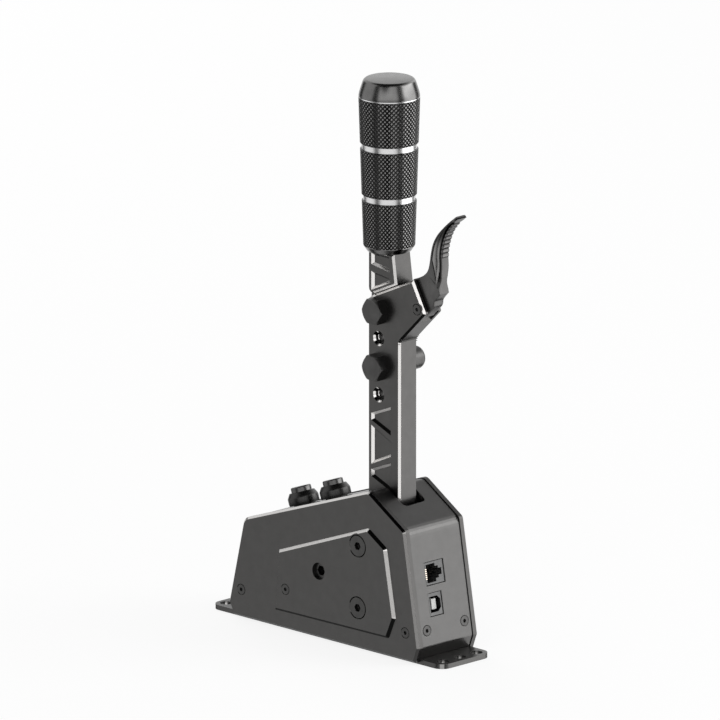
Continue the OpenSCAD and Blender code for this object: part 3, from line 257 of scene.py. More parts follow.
# Level directions are in degrees from +X towards +Y, spreads are inner and outer half angles,
# and bands are heights of the direction's Z. Each gap has its direction and the heights where
# it fades.
PANEL_GAPS = ((0, 0.7, 0.85), (-100, 0.7, 0.85), (85, 0.22, 0.36), (180, 0.22, 0.36))
GAP_SPREAD = (6, 16)
GAP_SHADE = 0.03
ROOF_STARTS = 0.70
ROOF_FULL = 0.82
REAR_WAY = 180
REAR_SPREAD = (60, 75)
HIGH_BAND = (0.05, 0.12, 0.6, 0.66)
HIGH_GLOW = 1.6
FRONT_WAY = 45
FRONT_SPREAD = (25, 40)
FRONT_BAND = (-0.75, -0.6, 0.5, 0.62)
FRONT_GLOW = 2.6
BEND_BAND = (0.12, 0.3, 0.48, 0.6)
BEND_GLOW = 1.7
CAMERA_WAY = -45
HORIZON_BAND = (-0.13, -0.08, 0.03, 0.07)
HORIZON_SPREAD = (25, 35)
HORIZON_SHADE = 0.55
DARK_PATCH = (0.294, -0.672, 0.680)
DARK_SPREAD = (15, 22)
WORLD_LIGHT = 0.6
FLOOR_GLOW = 0.85
FLOOR_WHITE = 0.9
FLOOR_HALF = 12
FLOOR_DROP = 0.2 * MM

make_camera()
make_world()
make_floor()
make_lamp("side_panel", azimuth=128, elevation=22, distance=1.9, size=(1.2, 1.0), watts=17)
make_lamp("camera_panel", azimuth=30, elevation=38, distance=2.6, size=(1.4, 1.0), watts=12)
make_lamp("rear_panel", azimuth=250, elevation=30, distance=2.2, size=(1.2, 1.0), watts=12)


# Materials

def shader(name):
    material = bpy.data.materials.new(name)
    material.use_nodes = True
    tree = material.node_tree
    bsdf = tree.nodes["Principled BSDF"]
    place = add(tree, "ShaderNodeTexCoord").outputs["Object"]
    return material, tree, bsdf, place


def noise(tree, place, scale, detail=2.0):
    node = add(tree, "ShaderNodeTexNoise", {"Vector": place, "Scale": scale, "Detail": detail})
    return node.outputs["Fac"]


def facing(tree):
    """The parts of a face's own normal."""
    normal = add(tree, "ShaderNodeNewGeometry").outputs["True Normal"]
    return add(tree, "ShaderNodeSeparateXYZ", {0: normal}).outputs


def apart(tree, value, middle):
    """How far a value is from the middle one, either way."""
    return maths(tree, "ABSOLUTE", maths(tree, "SUBTRACT", value, middle))


def chamfer(tree, part, full, none):
    """1 on faces that lean half way between a side face and an edge face."""
    off = apart(tree, maths(tree, "ABSOLUTE", part["Y"]), math.sqrt(0.5))
    return span(tree, off, none, full)


def lit_underside(tree, part):
    """1 on the chamfers along the top of the zigzag pockets, which the photo shows light."""
    off = apart(tree, part["X"], UNDERSIDE_X)
    return maths(tree, "MULTIPLY", span(tree, off, *UNDERSIDE_NEAR),
                 span(tree, part["Z"], *UNDERSIDE_Z))


def edge_mask(tree, place, rings=()):
    """1 on upper and upright chamfers, but for a disc at each of the rings, the screw heads."""
    part = facing(tree)
    upper = maths(tree, "MAXIMUM", span(tree, part["Z"], *UPPER_Z), lit_underside(tree, part))
    mask = maths(tree, "MULTIPLY", chamfer(tree, part, *EDGE_LEAN), upper)
    for x, z, radius in rings:
        flat = add(tree, "ShaderNodeVectorMath", {0: place, 1: (1, 0, 1)}, operation="MULTIPLY")
        gap = add(tree, "ShaderNodeVectorMath", {0: flat.outputs[0], 1: (x * MM, 0, z * MM)},
                  operation="DISTANCE").outputs["Value"]
        mask = maths(tree, "MULTIPLY", mask, maths(tree, "GREATER_THAN", gap, radius * MM))
    return mask


def shaded_edge(tree):
    """1 on chamfers that face down, or up and forward, which get a black painted shade in place of
    their polish.
    """
    part = facing(tree)
    ahead = maths(tree, "MINIMUM", span(tree, part["X"], *AHEAD_X),
                  span(tree, part["Z"], *AHEAD_Z))
    ahead = maths(tree, "MULTIPLY", ahead, span(tree, part["X"], *AHEAD_STEEP))
    down = maths(tree, "SUBTRACT", span(tree, part["Z"], *DOWN_Z), lit_underside(tree, part))
    way = maths(tree, "MAXIMUM", ahead, down)
    return maths(tree, "MULTIPLY", chamfer(tree, part, *SHADED_LEAN), way)


def painted_front_edge(tree, place):
    """1 on the side plates' front edges under the raised panel, which get a darker painted shade
    in place of the polish.
    """
    part = add(tree, "ShaderNodeSeparateXYZ", {0: place}).outputs
    low = maths(tree, "LESS_THAN", maths(tree, "ABSOLUTE", part["Y"]), PLATE_FACE)
    return maths(tree, "MULTIPLY", low, maths(tree, "GREATER_THAN", part["X"], PAINTED_FRONT_FROM))


def speckled(tree, fine, rough, spread):
    """A roughness that the fine noise varies by a share of itself."""
    return span(tree, fine, *FINE_RANGE, rough * (1 - spread), rough * (1 + spread))


def roughen(tree, bsdf, height, strength, depth, round_r):
    """Bump of a depth in mm, over edges rounded by a radius in mm."""
    bump = add(tree, "ShaderNodeBump", {"Strength": strength, "Distance": depth * MM,
                                        "Height": height})
    if round_r:
        soft = add(tree, "ShaderNodeBevel", {"Radius": round_r * MM}, samples=6)
        tree.links.new(soft.outputs[0], bump.inputs["Normal"])
    tree.links.new(bump.outputs[0], bsdf.inputs["Normal"])


def metal(name, shade, rough, warm=0.0, grain=0.12, edge=None, rings=(), painted_front_shade=None, round_r=0.15,
          blast=0.35, painted_light_values=None, painted_light_from=0.0):
    """Metal with a blasted or ground surface.

    edge is the polished chamfers' own shade and roughness; the shade given for the side plates'
    front edges is a darker painted shade in place of their polish; and the two painted light
    shades are for points whose painted light value is -1, a painted shade, and 1, a painted
    highlight. Points get the lighter shade from the given start value on.
    """
    material, tree, bsdf, place = shader(name)
    cloud = span(tree, noise(tree, place, CLOUD_SCALE, 3), *CLOUD_RANGE)
    colour = blend_colour(tree, cloud, grey(shade * (1 - grain), warm),
                          grey(shade * (1 + grain), warm))
    fine = noise(tree, place, FINE_SCALE, 1)
    roughness = speckled(tree, fine, rough, METAL_SPREAD)
    bsdf.inputs["Metallic"].default_value = 1.0
    # Points darken to a painted shade at -1 and lighten to a painted highlight at 1
    if painted_light_values:
        painted_light = add(tree, "ShaderNodeAttribute", attribute_name="painted_light").outputs["Fac"]
        light = span(tree, painted_light, painted_light_from, 1.0)
        colour = blend_colour(tree, light, colour, grey(painted_light_values[1], warm))
        colour = blend_colour(tree, span(tree, painted_light, 0.0, -1.0), colour, grey(painted_light_values[0], warm))
    if edge:
        mask = edge_mask(tree, place, rings)
        polish_and_painted_shade = grey(edge[0], warm)
        # The side plates' front edges get a darker painted shade in place of the polish
        if painted_front_shade:
            polish_and_painted_shade = blend_colour(tree, painted_front_edge(tree, place), polish_and_painted_shade, grey(painted_front_shade, warm))
        colour = blend_colour(tree, mask, colour, polish_and_painted_shade)
        # Black painted shade on chamfers that face down, or up and forward
        colour = blend_colour(tree, shaded_edge(tree), colour, grey(SHADED_EDGE))
        polished = speckled(tree, fine, edge[1], EDGE_SPREAD)
        roughness = add(tree, "ShaderNodeMix", {0: mask, 2: roughness, 3: polished}).outputs[0]
        matt = maths(tree, "MULTIPLY", lit_underside(tree, facing(tree)), UNDERSIDE_MATT)
        tree.links.new(maths(tree, "SUBTRACT", 1.0, matt), bsdf.inputs["Metallic"])
    tree.links.new(colour, bsdf.inputs["Base Color"])
    tree.links.new(roughness, bsdf.inputs["Roughness"])
    roughen(tree, bsdf, noise(tree, place, GRIT_SCALE, 1), blast, GRIT_DEPTH, round_r)
    return material


def plastic(name, colour, rough, round_r=0.15, shine=0.5):
    material, tree, bsdf, place = shader(name)
    cloud = span(tree, noise(tree, place, PLASTIC_CLOUD_SCALE, 3), *CLOUD_RANGE)
    dark = tuple(c * (1 - PLASTIC_GRAIN) for c in colour) + (1,)
    pale = tuple(c * (1 + PLASTIC_GRAIN) for c in colour) + (1,)
    tree.links.new(blend_colour(tree, cloud, dark, pale), bsdf.inputs["Base Color"])
    fine = noise(tree, place, PLASTIC_FINE_SCALE, 2)
    tree.links.new(speckled(tree, fine, rough, PLASTIC_SPREAD), bsdf.inputs["Roughness"])
    bsdf.inputs["Specular IOR Level"].default_value = shine
    roughen(tree, bsdf, fine, PLASTIC_BUMP, PLASTIC_DEPTH, round_r)
    return material


# Noise scales, the part of the noise in use, and how far shade and roughness vary with it
CLOUD_SCALE = 180
FINE_SCALE = 2600
GRIT_SCALE = 5200
GRIT_DEPTH = 0.012
CLOUD_RANGE = (0.3, 0.7)
FINE_RANGE = (0.25, 0.75)
METAL_SPREAD = 0.14
EDGE_SPREAD = 0.1
PLASTIC_CLOUD_SCALE = 240
PLASTIC_FINE_SCALE = 1900
PLASTIC_GRAIN = 0.12
PLASTIC_SPREAD = 0.15
PLASTIC_BUMP = 0.4
PLASTIC_DEPTH = 0.02
# Chamfers by the parts of their normals. A pair gives where a mask is 0 and where it is 1, but
# the two leans give how far Y may be from a chamfer's own for 1 and for 0. AHEAD_STEEP is
# two values of X and how strong the black painted shade on a chamfer that faces forward
# is at each.
EDGE_LEAN = (0.1, 0.14)
SHADED_LEAN = (0.14, 0.2)
UPPER_Z = (-0.36, -0.3)
DOWN_Z = (-0.2, -0.25)
AHEAD_X = (0.2, 0.24)
AHEAD_Z = (0.36, 0.4)
AHEAD_STEEP = (0.3, 0.45, 0.97, 1.0)
UNDERSIDE_X = 0.26
UNDERSIDE_NEAR = (0.08, 0.05)
UNDERSIDE_Z = (-0.58, -0.62)
# Black painted shade of the chamfers that face down, or up and forward
SHADED_EDGE = 0.006
# How matt the light chamfers along the top of the zigzag pockets are
UNDERSIDE_MATT = 0.6
# Outer faces of the side plates, and from where on their edges get a darker painted shade
PLATE_FACE = 22.55 * MM
PAINTED_FRONT_FROM = 52 * MM
# Screw heads in the side plates and the bracket: place along X, height and radius
PLATE_RINGS = ((28.9, 23.8, 6.8), (28.9, 57.5, 6.8), (-59.6, 16.2, 4.2), (62.8, 16.5, 4.2),
               (-25.0, 23.3, 4.2))
BRACKET_RINGS = ((55.6, 187.9, 4.0),)

METALS = {
    # The plate's front edges get a darker painted shade
    "anodised_plate": dict(shade=0.075, rough=0.34, warm=0.02, grain=0.04, edge=(0.6, 0.2),
                           rings=PLATE_RINGS, painted_front_shade=0.3),
    "anodised_cover": dict(shade=0.09, rough=0.34, warm=0.015, grain=0.04, round_r=0.6),
    "anodised_stick": dict(shade=0.075, rough=0.32, warm=0.02, grain=0.05, edge=(0.8, 0.2),
                           rings=BRACKET_RINGS),
    "bare_aluminium": dict(shade=0.62, rough=0.36),
    "ground_steel": dict(shade=0.6, rough=0.25),
    "black_screw": dict(shade=0.068, rough=0.36, warm=0.015, round_r=0.3),
    "black_bolt": dict(shade=0.07, rough=0.34, warm=0.015, round_r=0.3),
    "brass": dict(shade=0.5, rough=0.3, warm=0.35),
    "gold": dict(shade=0.6, rough=0.3, warm=0.15, round_r=0),
    "socket_steel": dict(shade=0.09, rough=0.3, round_r=0.1),
    "button_metal": dict(shade=0.05, rough=0.36, warm=0.01, round_r=0),
    "button_cap_metal": dict(shade=0.09, rough=0.3, warm=0.01, round_r=0),
    "trigger_metal": dict(shade=0.085, rough=0.3, warm=0.015, round_r=0, painted_light_values=(0.006, 0.24)),
    "knurled_grip": dict(shade=0.025, rough=0.19, warm=0.01, round_r=0, blast=0.1,
                         painted_light_values=(0.015, 0.2), painted_light_from=0.8),
    "polished_ring": dict(shade=0.7, rough=0.28, grain=0.04, round_r=0, blast=0.1),
    "grip_cap_metal": dict(shade=0.15, rough=0.24, warm=0.01, round_r=0),
}
PLASTICS = {
    "black_rubber": dict(colour=(0.03, 0.03, 0.03), rough=0.7),
    "board": dict(colour=(0.02, 0.12, 0.05), rough=0.45),
    "black_plastic": dict(colour=(0.02, 0.02, 0.02), rough=0.45, shine=1.0),
    "pale_plastic": dict(colour=(0.5, 0.5, 0.49), rough=0.5),
    "lead_sheath": dict(colour=(0.03, 0.03, 0.03), rough=0.55, round_r=0),
}
MATERIALS = {name: metal(name, **look) for name, look in METALS.items()}
MATERIALS.update((name, plastic(name, **look)) for name, look in PLASTICS.items())


def dress_nodes():
    for part in frame["record"]["subparts"]:
        mesh = NODES[part["node"]].data
        mesh.materials.clear()
        mesh.materials.append(MATERIALS[part["material_slot"]])


dress_nodes()


# Mesh helpers

def make_mesh(name, points, faces, slot, body, *stands_for, smooth=35, painted_light_values=()):
    """A piece that rides on a body and stands for CAD nodes.

    smooth is its largest soft edge angle, and the painted light values hold one value from -1 to 1
    for each point: -1 is painted shade and 1 a painted highlight.
    """
    mesh = bpy.data.meshes.new(name)
    mesh.from_pydata([tuple(p) for p in points], [], faces)
    shape = bmesh.new()
    shape.from_mesh(mesh)
    bmesh.ops.recalc_face_normals(shape, faces=shape.faces)
    shape.to_mesh(mesh)
    shape.free()
    # Painted light per point: painted shade below 0, painted highlight above
    if painted_light_values:
        mesh.attributes.new("painted_light", "FLOAT", "POINT").data.foreach_set("value", painted_light_values)
    if smooth:
        mesh.shade_smooth()
        mesh.set_sharp_from_angle(angle=math.radians(smooth))
    piece = bpy.data.objects.new(name, mesh)
    SCENE.collection.objects.link(piece)
    mesh.materials.append(MATERIALS[slot])
    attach(piece, body)
    if stands_for:
        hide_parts(*stands_for)
    return piece


def loft(rings, closed=False):
    """Points and quads over rings of equal length; closed joins the last ring to the first."""
    n = len(rings[0])
    points = [p for ring in rings for p in ring]
    faces = []
    last = len(rings) if closed else len(rings) - 1
    for i in range(last):
        a, b = i * n, (i + 1) % len(rings) * n
        for k in range(n):
            j = (k + 1) % n
            faces.append((a + k, a + j, b + j, b + k))
    return points, faces


def turned(profile, foot, axis=Vector((0, 0, 1)), steps=128):
    """A closed body of revolution; profile is a loop of radius and height in mm along the axis."""
    side = axis.cross(Vector((0, 1, 0))).normalized()
    other = axis.cross(side)
    rings = []
    for i in range(steps):
        a = 2 * math.pi * i / steps
        out = side * math.cos(a) + other * math.sin(a)
        rings.append([foot + (out * r + axis * z) * MM for r, z in profile])
    return loft(rings, closed=True)


# Knurled sleeves of the grip

KNURLS = 44
KNURL_DEPTH = 0.28 * MM
KNURL_FLAT = 0.46
KNURL_PITCH_Z = 2.37 * MM
BORE_R = 8.05 * MM
BAND = 0.3 * MM
# Steps by which a unique key tells the points of a row apart
KEY_STEPS = 10
# The sleeves' chamfered ends: height of the CAD's chamfer, the step beside the knurl inwards and
# along, and how far the end face stays within the cone
CHAMFER_H = 0.6 * MM
STEP_IN = 0.2 * MM
STEP_ALONG = 0.12 * MM
END_IN = 0.45 * MM
# Smooth end of the lower sleeve: its radius at the foot, where its knurl starts, and its
# painted light value, a painted reflection that lightens it
RIM_R = 11.6 * MM
FOOT_H = 3.5 * MM
FOOT_PAINTED_LIGHT = 0.92


def grip_axis():
    low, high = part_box("grip_cap")
    return Vector(((low.x + high.x) / 2, (low.y + high.y) / 2, 0))


def grip_radius():
    """Radius of the grip's cone as a function of height, from the upper two sleeves' boxes."""
    low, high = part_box("grip_sleeve_middle")
    mid_r, mid_z = (high.x - low.x) / 2, high.z
    low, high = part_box("grip_sleeve_upper")
    top_r, top_z = (high.x - low.x) / 2, high.z
    slope = (top_r - mid_r) / (top_z - mid_z)
    return lambda z: top_r + slope * (z - top_z + CHAMFER_H)


class Sleeve:
    """Points, painted light values and faces of one knurled sleeve, whose rows are half a diamond
    high.
    """

    def __init__(self, z0, z1):
        self.centre = grip_axis()
        self.radius = grip_radius()
        self.z0 = z0
        self.rows = 2 * round((z1 - z0) / KNURL_PITCH_Z)
        self.cols = 2 * KNURLS
        self.step = (z1 - z0) / self.rows
        self.points, self.painted_light_values, self.faces, self.index = [], [], [], {}

    def put(self, r, a, z, painted_light):
        self.points.append(self.centre + Vector((r * math.cos(a), r * math.sin(a), z)))
        self.painted_light_values.append(painted_light)
        return len(self.points) - 1

    def vertex(self, i, j, raised):
        """The point at column i and row j, on a diamond's flat top or down in a groove."""
        key = (round(i * KEY_STEPS) % (self.cols * KEY_STEPS), round(j * KEY_STEPS), raised)
        if key not in self.index:
            z = self.z0 + j * self.step
            r = self.radius(z) - (0 if raised else KNURL_DEPTH)
            # Flat tops get a painted highlight and the grooves a painted shade
            painted_light = 1.0 if raised else -1.0
            self.index[key] = self.put(r, 2 * math.pi * i / self.cols, z, painted_light)
        return self.index[key]

    def diamond(self, i, j):
        east, west = self.vertex(i + 1, j, False), self.vertex(i - 1, j, False)
        east_top = self.vertex(i + KNURL_FLAT, j, True)
        west_top = self.vertex(i - KNURL_FLAT, j, True)
        top = []
        for way in (1, -1):
            if not 0 <= j + way <= self.rows:
                continue
            end = self.vertex(i, j + way, False)
            end_top = self.vertex(i, j + way * KNURL_FLAT, True)
            self.faces.append((east, end, end_top, east_top))
            self.faces.append((end, west, west_top, end_top))
            top.append(end_top)
        self.faces.append((east_top, top[0], west_top, *top[1:]))

    def rim(self, j):
        """The outer points of the first or last row, in order round the sleeve."""
        line = []
        for i in range(self.cols):
            if (i + j) % 2 == 0:
                line.append(self.vertex(i, j, False))
            else:
                line.append(self.vertex(i - KNURL_FLAT, j, True))
                line.append(self.vertex(i + KNURL_FLAT, j, True))
        return line

    def ring(self, r, z, line, painted_light=0.0):
        """A plain ring with one point beside each point of the line."""
        spokes = [self.points[k] - self.centre for k in line]
        return [self.put(r, math.atan2(p.y, p.x), z, painted_light) for p in spokes]

    def stitch(self, a, b):
        for k in range(len(a)):
            m = (k + 1) % len(a)
            self.faces.append((a[k], a[m], b[m], b[k]))


def knurled_sleeve(name, node, foot=()):
    """Sleeve with real diamond knurls; foot holds radius and height pairs under the knurl."""
    low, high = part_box(node)
    z0 = foot[-1][1] if foot else low.z + BAND
    z1 = high.z - BAND
    sleeve = Sleeve(z0, z1)
    for j in range(sleeve.rows + 1):
        for i in range(sleeve.cols):
            if (i + j) % 2:
                sleeve.diamond(i, j)
    upper, lower = sleeve.rim(sleeve.rows), sleeve.rim(0)
    radius = sleeve.radius
    above = [upper, sleeve.ring(radius(z1) - STEP_IN, z1 + STEP_ALONG, upper),
             sleeve.ring(radius(high.z) - END_IN, high.z, upper),
             sleeve.ring(BORE_R, high.z, upper)]
    if foot:
        below = [sleeve.ring(r, z, lower, FOOT_PAINTED_LIGHT) for r, z in reversed(foot)]
    else:
        below = [sleeve.ring(radius(z0) - STEP_IN, z0 - STEP_ALONG, lower),
                 sleeve.ring(radius(low.z) - END_IN, low.z, lower)]
    below = [lower] + below + [sleeve.ring(BORE_R, low.z, lower)]
    for chain in (above, below):
        for a, b in zip(chain, chain[1:]):
            sleeve.stitch(a, b)
    sleeve.stitch(above[-1], below[-1])
    make_mesh(name, sleeve.points, sleeve.faces, "knurled_grip", "lever", node, smooth=20,
              painted_light_values=sleeve.painted_light_values)


def lower_foot():
    """Smooth end of the lower sleeve, from its rim up to the start of the knurl."""
    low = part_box("grip_sleeve_lower")[0]
    knurl_z = low.z + FOOT_H
    edge_r = grip_radius()(knurl_z)
    return [(RIM_R - 0.5 * MM, low.z), (RIM_R + 0.1 * MM, low.z + 0.15 * MM),
            (RIM_R + 0.5 * MM, low.z + 0.6 * MM), (edge_r - 0.5 * MM, knurl_z - 1.1 * MM),
            (edge_r - 0.1 * MM, knurl_z - 0.6 * MM), (edge_r - 0.1 * MM, knurl_z - 0.2 * MM)]


knurled_sleeve("lower_grip_sleeve", "grip_sleeve_lower", lower_foot())
knurled_sleeve("middle_grip_sleeve", "grip_sleeve_middle")
knurled_sleeve("upper_grip_sleeve", "grip_sleeve_upper")


# Grip cap, turned with small rounded edges

CAP_FLAT_R = 13
CORE_RISE = 4.1
# Radius at which a turned solid's profile meets its axis
AXIS_R = 0.02


def grip_cap():
    low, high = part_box("grip_cap")
    rim = (high.x - low.x) / 2 / MM
    tall = (high.z - low.z) / MM
    bore = BORE_R / MM
    profile = [(bore, 0), (rim - 0.35, 0), (rim - 0.08, 0.1), (rim, 0.35), (rim - 0.02, 0.7),
               (rim - 0.3, 2.1), (rim - 0.95, 4.2), (CAP_FLAT_R + 1.1, tall - 1.7),
               (CAP_FLAT_R + 0.75, tall - 1.05), (CAP_FLAT_R + 0.3, tall - 0.5),
               (CAP_FLAT_R - 0.25, tall - 0.15), (CAP_FLAT_R - 0.9, tall), (AXIS_R, tall),
               (AXIS_R, CORE_RISE), (bore, CORE_RISE)]
    foot = grip_axis() + Vector((0, 0, low.z))
    points, faces = turned(profile, foot)
    make_mesh("bevelled_cap", points, faces, "grip_cap_metal", "lever", "grip_cap", smooth=30)


grip_cap()


# Push buttons: heights in mm over the cover

BUTTON_FEET = {"rear": Vector((-34.5, 0, 63.84)) * MM, "front": Vector((-10.71, 0, 72.14)) * MM}
BUTTON_AXIS = Vector((-0.32954, 0, 0.944142))
COLLAR = [(2.9, -9), (5.9, -9), (5.9, 0), (8.1, 0), (8.25, 0.8), (8.3, 1.6), (8.3, 3.6),
          (8.26, 3.95), (8.12, 4.3), (6.95, 6.35), (6.8, 6.6), (6.55, 6.7), (6.0, 6.7), (5.8, 6.5),
          (5.8, 0.6), (2.9, 0.6)]
CAP = [(AXIS_R, -3.2), (2.2, -3.2), (2.2, 2.5), (5.2, 2.5), (5.5, 2.8), (5.5, 8.8), (5.44, 9.1),
       (5.25, 9.35), (4.9, 9.5), (AXIS_R, 9.5)]


def push_buttons():
    for side, foot in BUTTON_FEET.items():
        points, faces = turned(COLLAR, foot, BUTTON_AXIS)
        make_mesh(f"{side}_button_collar", points, faces, "button_metal", "chassis",
                  f"button_bezel_{side}", smooth=25)
        points, faces = turned(CAP, foot, BUTTON_AXIS)
        make_mesh(f"{side}_button_top", points, faces, "button_cap_metal", f"{side}_button",
                  f"button_cap_{side}", smooth=35)


push_buttons()


# Comb of contacts at the near side of the modular jack's mouth

MOUTH_CENTRE = Vector((65.3, -5.8, 46.3)) * MM
FACE_NORMAL = Vector((0.985743, 0, 0.168259))
CONTACTS = 6
CONTACT_PITCH = 1.02
CONTACT_H = 0.5
COMB_Y = (-4.7, -3.1)
COMB_DEPTH = (-8, 0.06)
BOX_FACES = ((0, 1, 2, 3), (4, 5, 6, 7), (0, 1, 5, 4), (1, 2, 6, 5), (2, 3, 7, 6), (3, 0, 4, 7))


def contact_comb():
    up = Vector((-FACE_NORMAL.z, 0, FACE_NORMAL.x))
    points, faces = [], []
    for k in range(CONTACTS):
        middle = (k - (CONTACTS - 1) / 2) * CONTACT_PITCH
        start = len(points)
        for depth in COMB_DEPTH:
            for y, rise in ((0, -1), (1, -1), (1, 1), (0, 1)):
                at = FACE_NORMAL * depth + up * (middle + rise * CONTACT_H / 2)
                at.y += COMB_Y[y]
                points.append(MOUTH_CENTRE + at * MM)
        faces += [tuple(start + c for c in face) for face in BOX_FACES]
    make_mesh("contact_comb", points, faces, "gold", "chassis", "jack_contacts", smooth=0)


contact_comb()


# Finger trigger, lofted along its length

def curve(points, count):
    """Evenly stepped points on a smooth curve through the given ones."""
    out = []
    n = len(points) - 1
    for s in range(count + 1):
        t = s / count * n
        i = min(int(t), n - 1)
        u = t - i
        around = points[max(i - 1, 0)], points[i], points[i + 1], points[min(i + 2, n)]
        out.append(tuple((2 * q + (r - p) * u + (2 * p - 5 * q + 4 * r - w) * u * u
                          + (3 * q - p - 3 * r + w) * u ** 3) / 2
                         for p, q, r, w in zip(*around)))
    return out


# Matching points in mm on the trigger's front and rear edges: its straight-sided tail, then its
# blade
TAIL_FRONT = [(46.3, 186.6), (52.2, 185.5), (56.3, 184.7), (58.4, 183.6), (64.3, 189.7),
              (64.6, 190.2), (65.1, 191.2), (65.3, 193.1), (65.7, 193.9), (66.8, 195.2),
              (69.1, 197.6), (69.4, 197.9)]
TAIL_REAR = [(45.1, 188.3), (45.6, 191.9), (46.4, 195.5), (47.2, 199.0), (49.8, 202.8),
             (50.6, 203.1), (51.8, 203.5), (53.2, 204.1), (54.3, 204.6), (55.3, 205.1),
             (56.6, 205.8), (57.2, 206.2)]
BLADE_FRONT = [(69.4, 197.9), (68.8, 201.8), (69.6, 207.3), (70.1, 213.0), (69.9, 219.0),
               (70.9, 224.9), (73.2, 230.8), (76.0, 235.0), (79.2, 238.3), (82.2, 240.9)]
BLADE_REAR = [(57.2, 206.2), (59.4, 208.2), (60.8, 210.9), (61.7, 214.8), (62.4, 219.0),
              (64.0, 224.6), (67.0, 229.6), (71.2, 234.1), (76.0, 238.4), (80.9, 242.2)]
STATIONS = 250
RIBS = 9
RIB_LOW = 217.5
RIB_PITCH = 2.5
RIB_HEIGHT = 0.6
RIB_SHARPNESS = 0.7
# How much narrower the pad is between two ribs, and how steeply its painted light follows
# them, from painted shade between the ribs to a faint painted highlight on them
RIB_NOTCH = 0.3
RIB_PAINT_GAIN = 1.3
SCOOP_LOW = (199.5, 206)
SCOOP_HIGH = (238.2, 239.7)
# Depth of the scoop's rear side behind the front edge, at some heights
SCOOP_REAR = ((200, 2.9), (205, 3.2), (207.8, 4.2), (212.8, 6.0), (216.7, 6.7))
PAD_NARROW = 1.9
PAD_WIDE = 2.6
PAD_WIDE_FROM = 212
PAD_T = 0.8
GROOVE_W = 1.3
# The groove's floor lies under the pad's edge and, at least, under the trigger's side
FLOOR_UNDER_PAD = 1.0
FLOOR_UNDER_SIDE = 0.9
# The band in the scoop, which carries a painted highlight, rises in an arc from its low crest
# to just under the side
CREST_RISE = 0.4
CREST_UNDER_SIDE = 1.3
BAND_UNDER_SIDE = 0.15
BAND_STARTS = 22
BAND_ARC = 8
# Heights over which the band's painted highlight fades, and how far it drops, down into painted
# shade at the top
BAND_PAINT_FADES = (221, 232)
BAND_PAINT_DROP = 1.6
# Flat strip behind the scoop, at most a share of the blade's length there, and spare room
REAR_FLAT = 1.1
REAR_SHARE = 0.3
REAR_ROOM = 0.8
BAND_ROOM = 0.4


def ramp(value, low, high):
    u = min(max((value - low) / (high - low), 0), 1)
    return u * u * (3 - 2 * u)


def step_through(value, table):
    """Value of a table of pairs, straight between them and level beyond its ends."""
    for (x0, y0), (x1, y1) in zip(table, table[1:]):
        if value < x1:
            return y0 + (y1 - y0) * min(max((value - x0) / (x1 - x0), 0), 1)
    return table[-1][1]


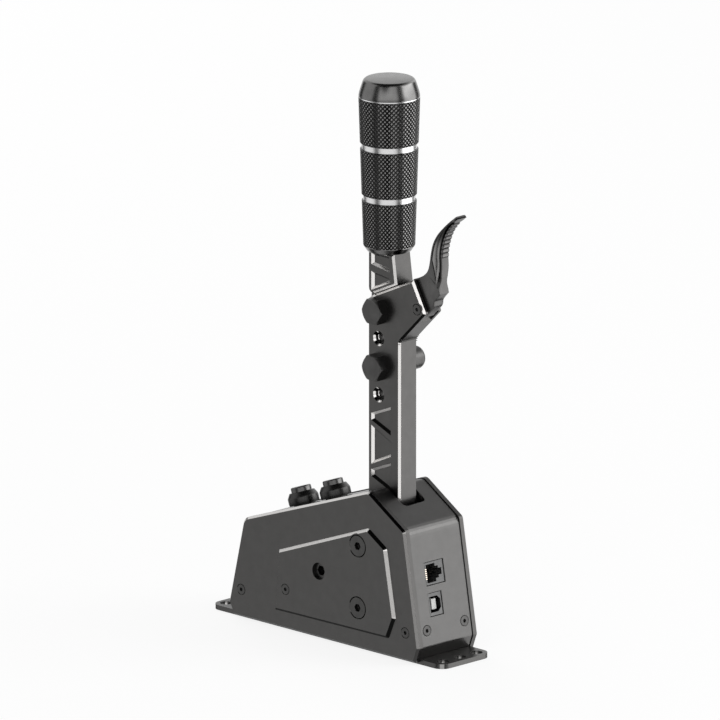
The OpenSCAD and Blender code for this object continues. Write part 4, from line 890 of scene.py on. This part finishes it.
def blade_section(z, length, lift, half):
    """Half of the blade's cross-section: depth from its front edge, half width and painted light
    value.
    """
    scoop = ramp(z, *SCOOP_LOW) * (1 - ramp(z, *SCOOP_HIGH))
    widen = ramp(z, SCOOP_LOW[0], PAD_WIDE_FROM)
    pad = PAD_NARROW + (PAD_WIDE - PAD_NARROW) * widen
    pad = half + (pad - half) * scoop
    wave = lift / RIB_HEIGHT
    ribbed = 1 if RIB_LOW < z < SCOOP_HIGH[0] else 0
    painted_band_light = scoop * (1 - BAND_PAINT_DROP * ramp(z, *BAND_PAINT_FADES))
    pad_edge = pad - RIB_NOTCH * (1 - wave) * ribbed
    floor = min(pad, half - FLOOR_UNDER_SIDE) - FLOOR_UNDER_PAD
    crest = min(floor + CREST_RISE, half - CREST_UNDER_SIDE)
    rear_flat = min(REAR_FLAT, REAR_SHARE * length)
    top = min(step_through(z, SCOOP_REAR), length - rear_flat - REAR_ROOM)
    foot = min(PAD_T + GROOVE_W, top - BAND_ROOM)
    painted_rib_light = (RIB_PAINT_GAIN * wave - 1) * ribbed
    # Painted light per point: rib paint along the pad's front, painted shade in the groove behind
    # the pad and beside the band, and the band's painted highlight
    section = [(-lift, 0, painted_rib_light), (-lift, pad_edge * 0.5, painted_rib_light),
               (-lift, pad_edge - 0.4, painted_rib_light), (-lift * 0.7 + 0.1, pad_edge - 0.1, painted_rib_light),
               (0.35, pad_edge, painted_rib_light),
               (PAD_T, pad_edge - 0.1, -0.5 * scoop), (PAD_T + 0.1, pad - 0.7 * scoop, -scoop),
               (PAD_T + 0.5 * (foot - PAD_T), half + (floor - half) * scoop, -scoop),
               (foot, half + (crest - half) * scoop, -scoop)]
    for k in range(BAND_ARC + 1):
        turn = math.radians(BAND_STARTS + (90 - BAND_STARTS) * k / BAND_ARC)
        t = foot + (top - foot) * (1 - math.cos(turn))
        w = crest + (half - BAND_UNDER_SIDE - crest) * math.sin(turn)
        section.append((t, half + (w - half) * scoop, painted_band_light))
    section += [(top + 0.3, half - 0.45 * scoop, -0.5 * scoop), (top + 0.6, half - 0.4 * scoop, 0),
                (top + 0.75, half, 0), (length - 0.35, half, 0), (length - 0.08, half - 0.3, 0),
                (length, half * 0.7, 0), (length, 0, 0)]
    return section


def trigger_blade():
    low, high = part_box("trigger")
    half = (high.y - low.y) / 2 / MM
    mid_y = (high.y + low.y) / 2
    front = TAIL_FRONT[:-1] + curve(BLADE_FRONT, STATIONS)
    rear = TAIL_REAR[:-1] + curve(BLADE_REAR, STATIONS)
    rings, painted_light_values = [], []
    run = 0.0
    last = front[0]
    for f, r in zip(front, rear):
        if f[1] > RIB_LOW:
            run += math.dist(f, last)
        last = f
        rib = run / RIB_PITCH
        lift = RIB_HEIGHT * abs(math.sin(math.pi * rib)) ** RIB_SHARPNESS if rib < RIBS else 0
        length = math.dist(f, r)
        back = ((r[0] - f[0]) / length, (r[1] - f[1]) / length)
        side = blade_section(f[1], length, lift, half)
        loop = side + [(t, -w, painted_light) for t, w, painted_light in reversed(side[1:-1])]
        rings.append([Vector(((f[0] + back[0] * t) * MM, mid_y - w * MM,
                              (f[1] + back[1] * t) * MM)) for t, w, painted_light in loop])
        painted_light_values += [painted_light for t, w, painted_light in loop]
    points, faces = loft(rings)
    n = len(rings[0])
    faces.append(tuple(range(n)))
    faces.append(tuple(range(len(points) - n, len(points))))
    make_mesh("finger_trigger", points, faces, "trigger_metal", "trigger", "trigger", smooth=40,
              painted_light_values=painted_light_values)


trigger_blade()


SCENE.view_settings.view_transform = "Standard"
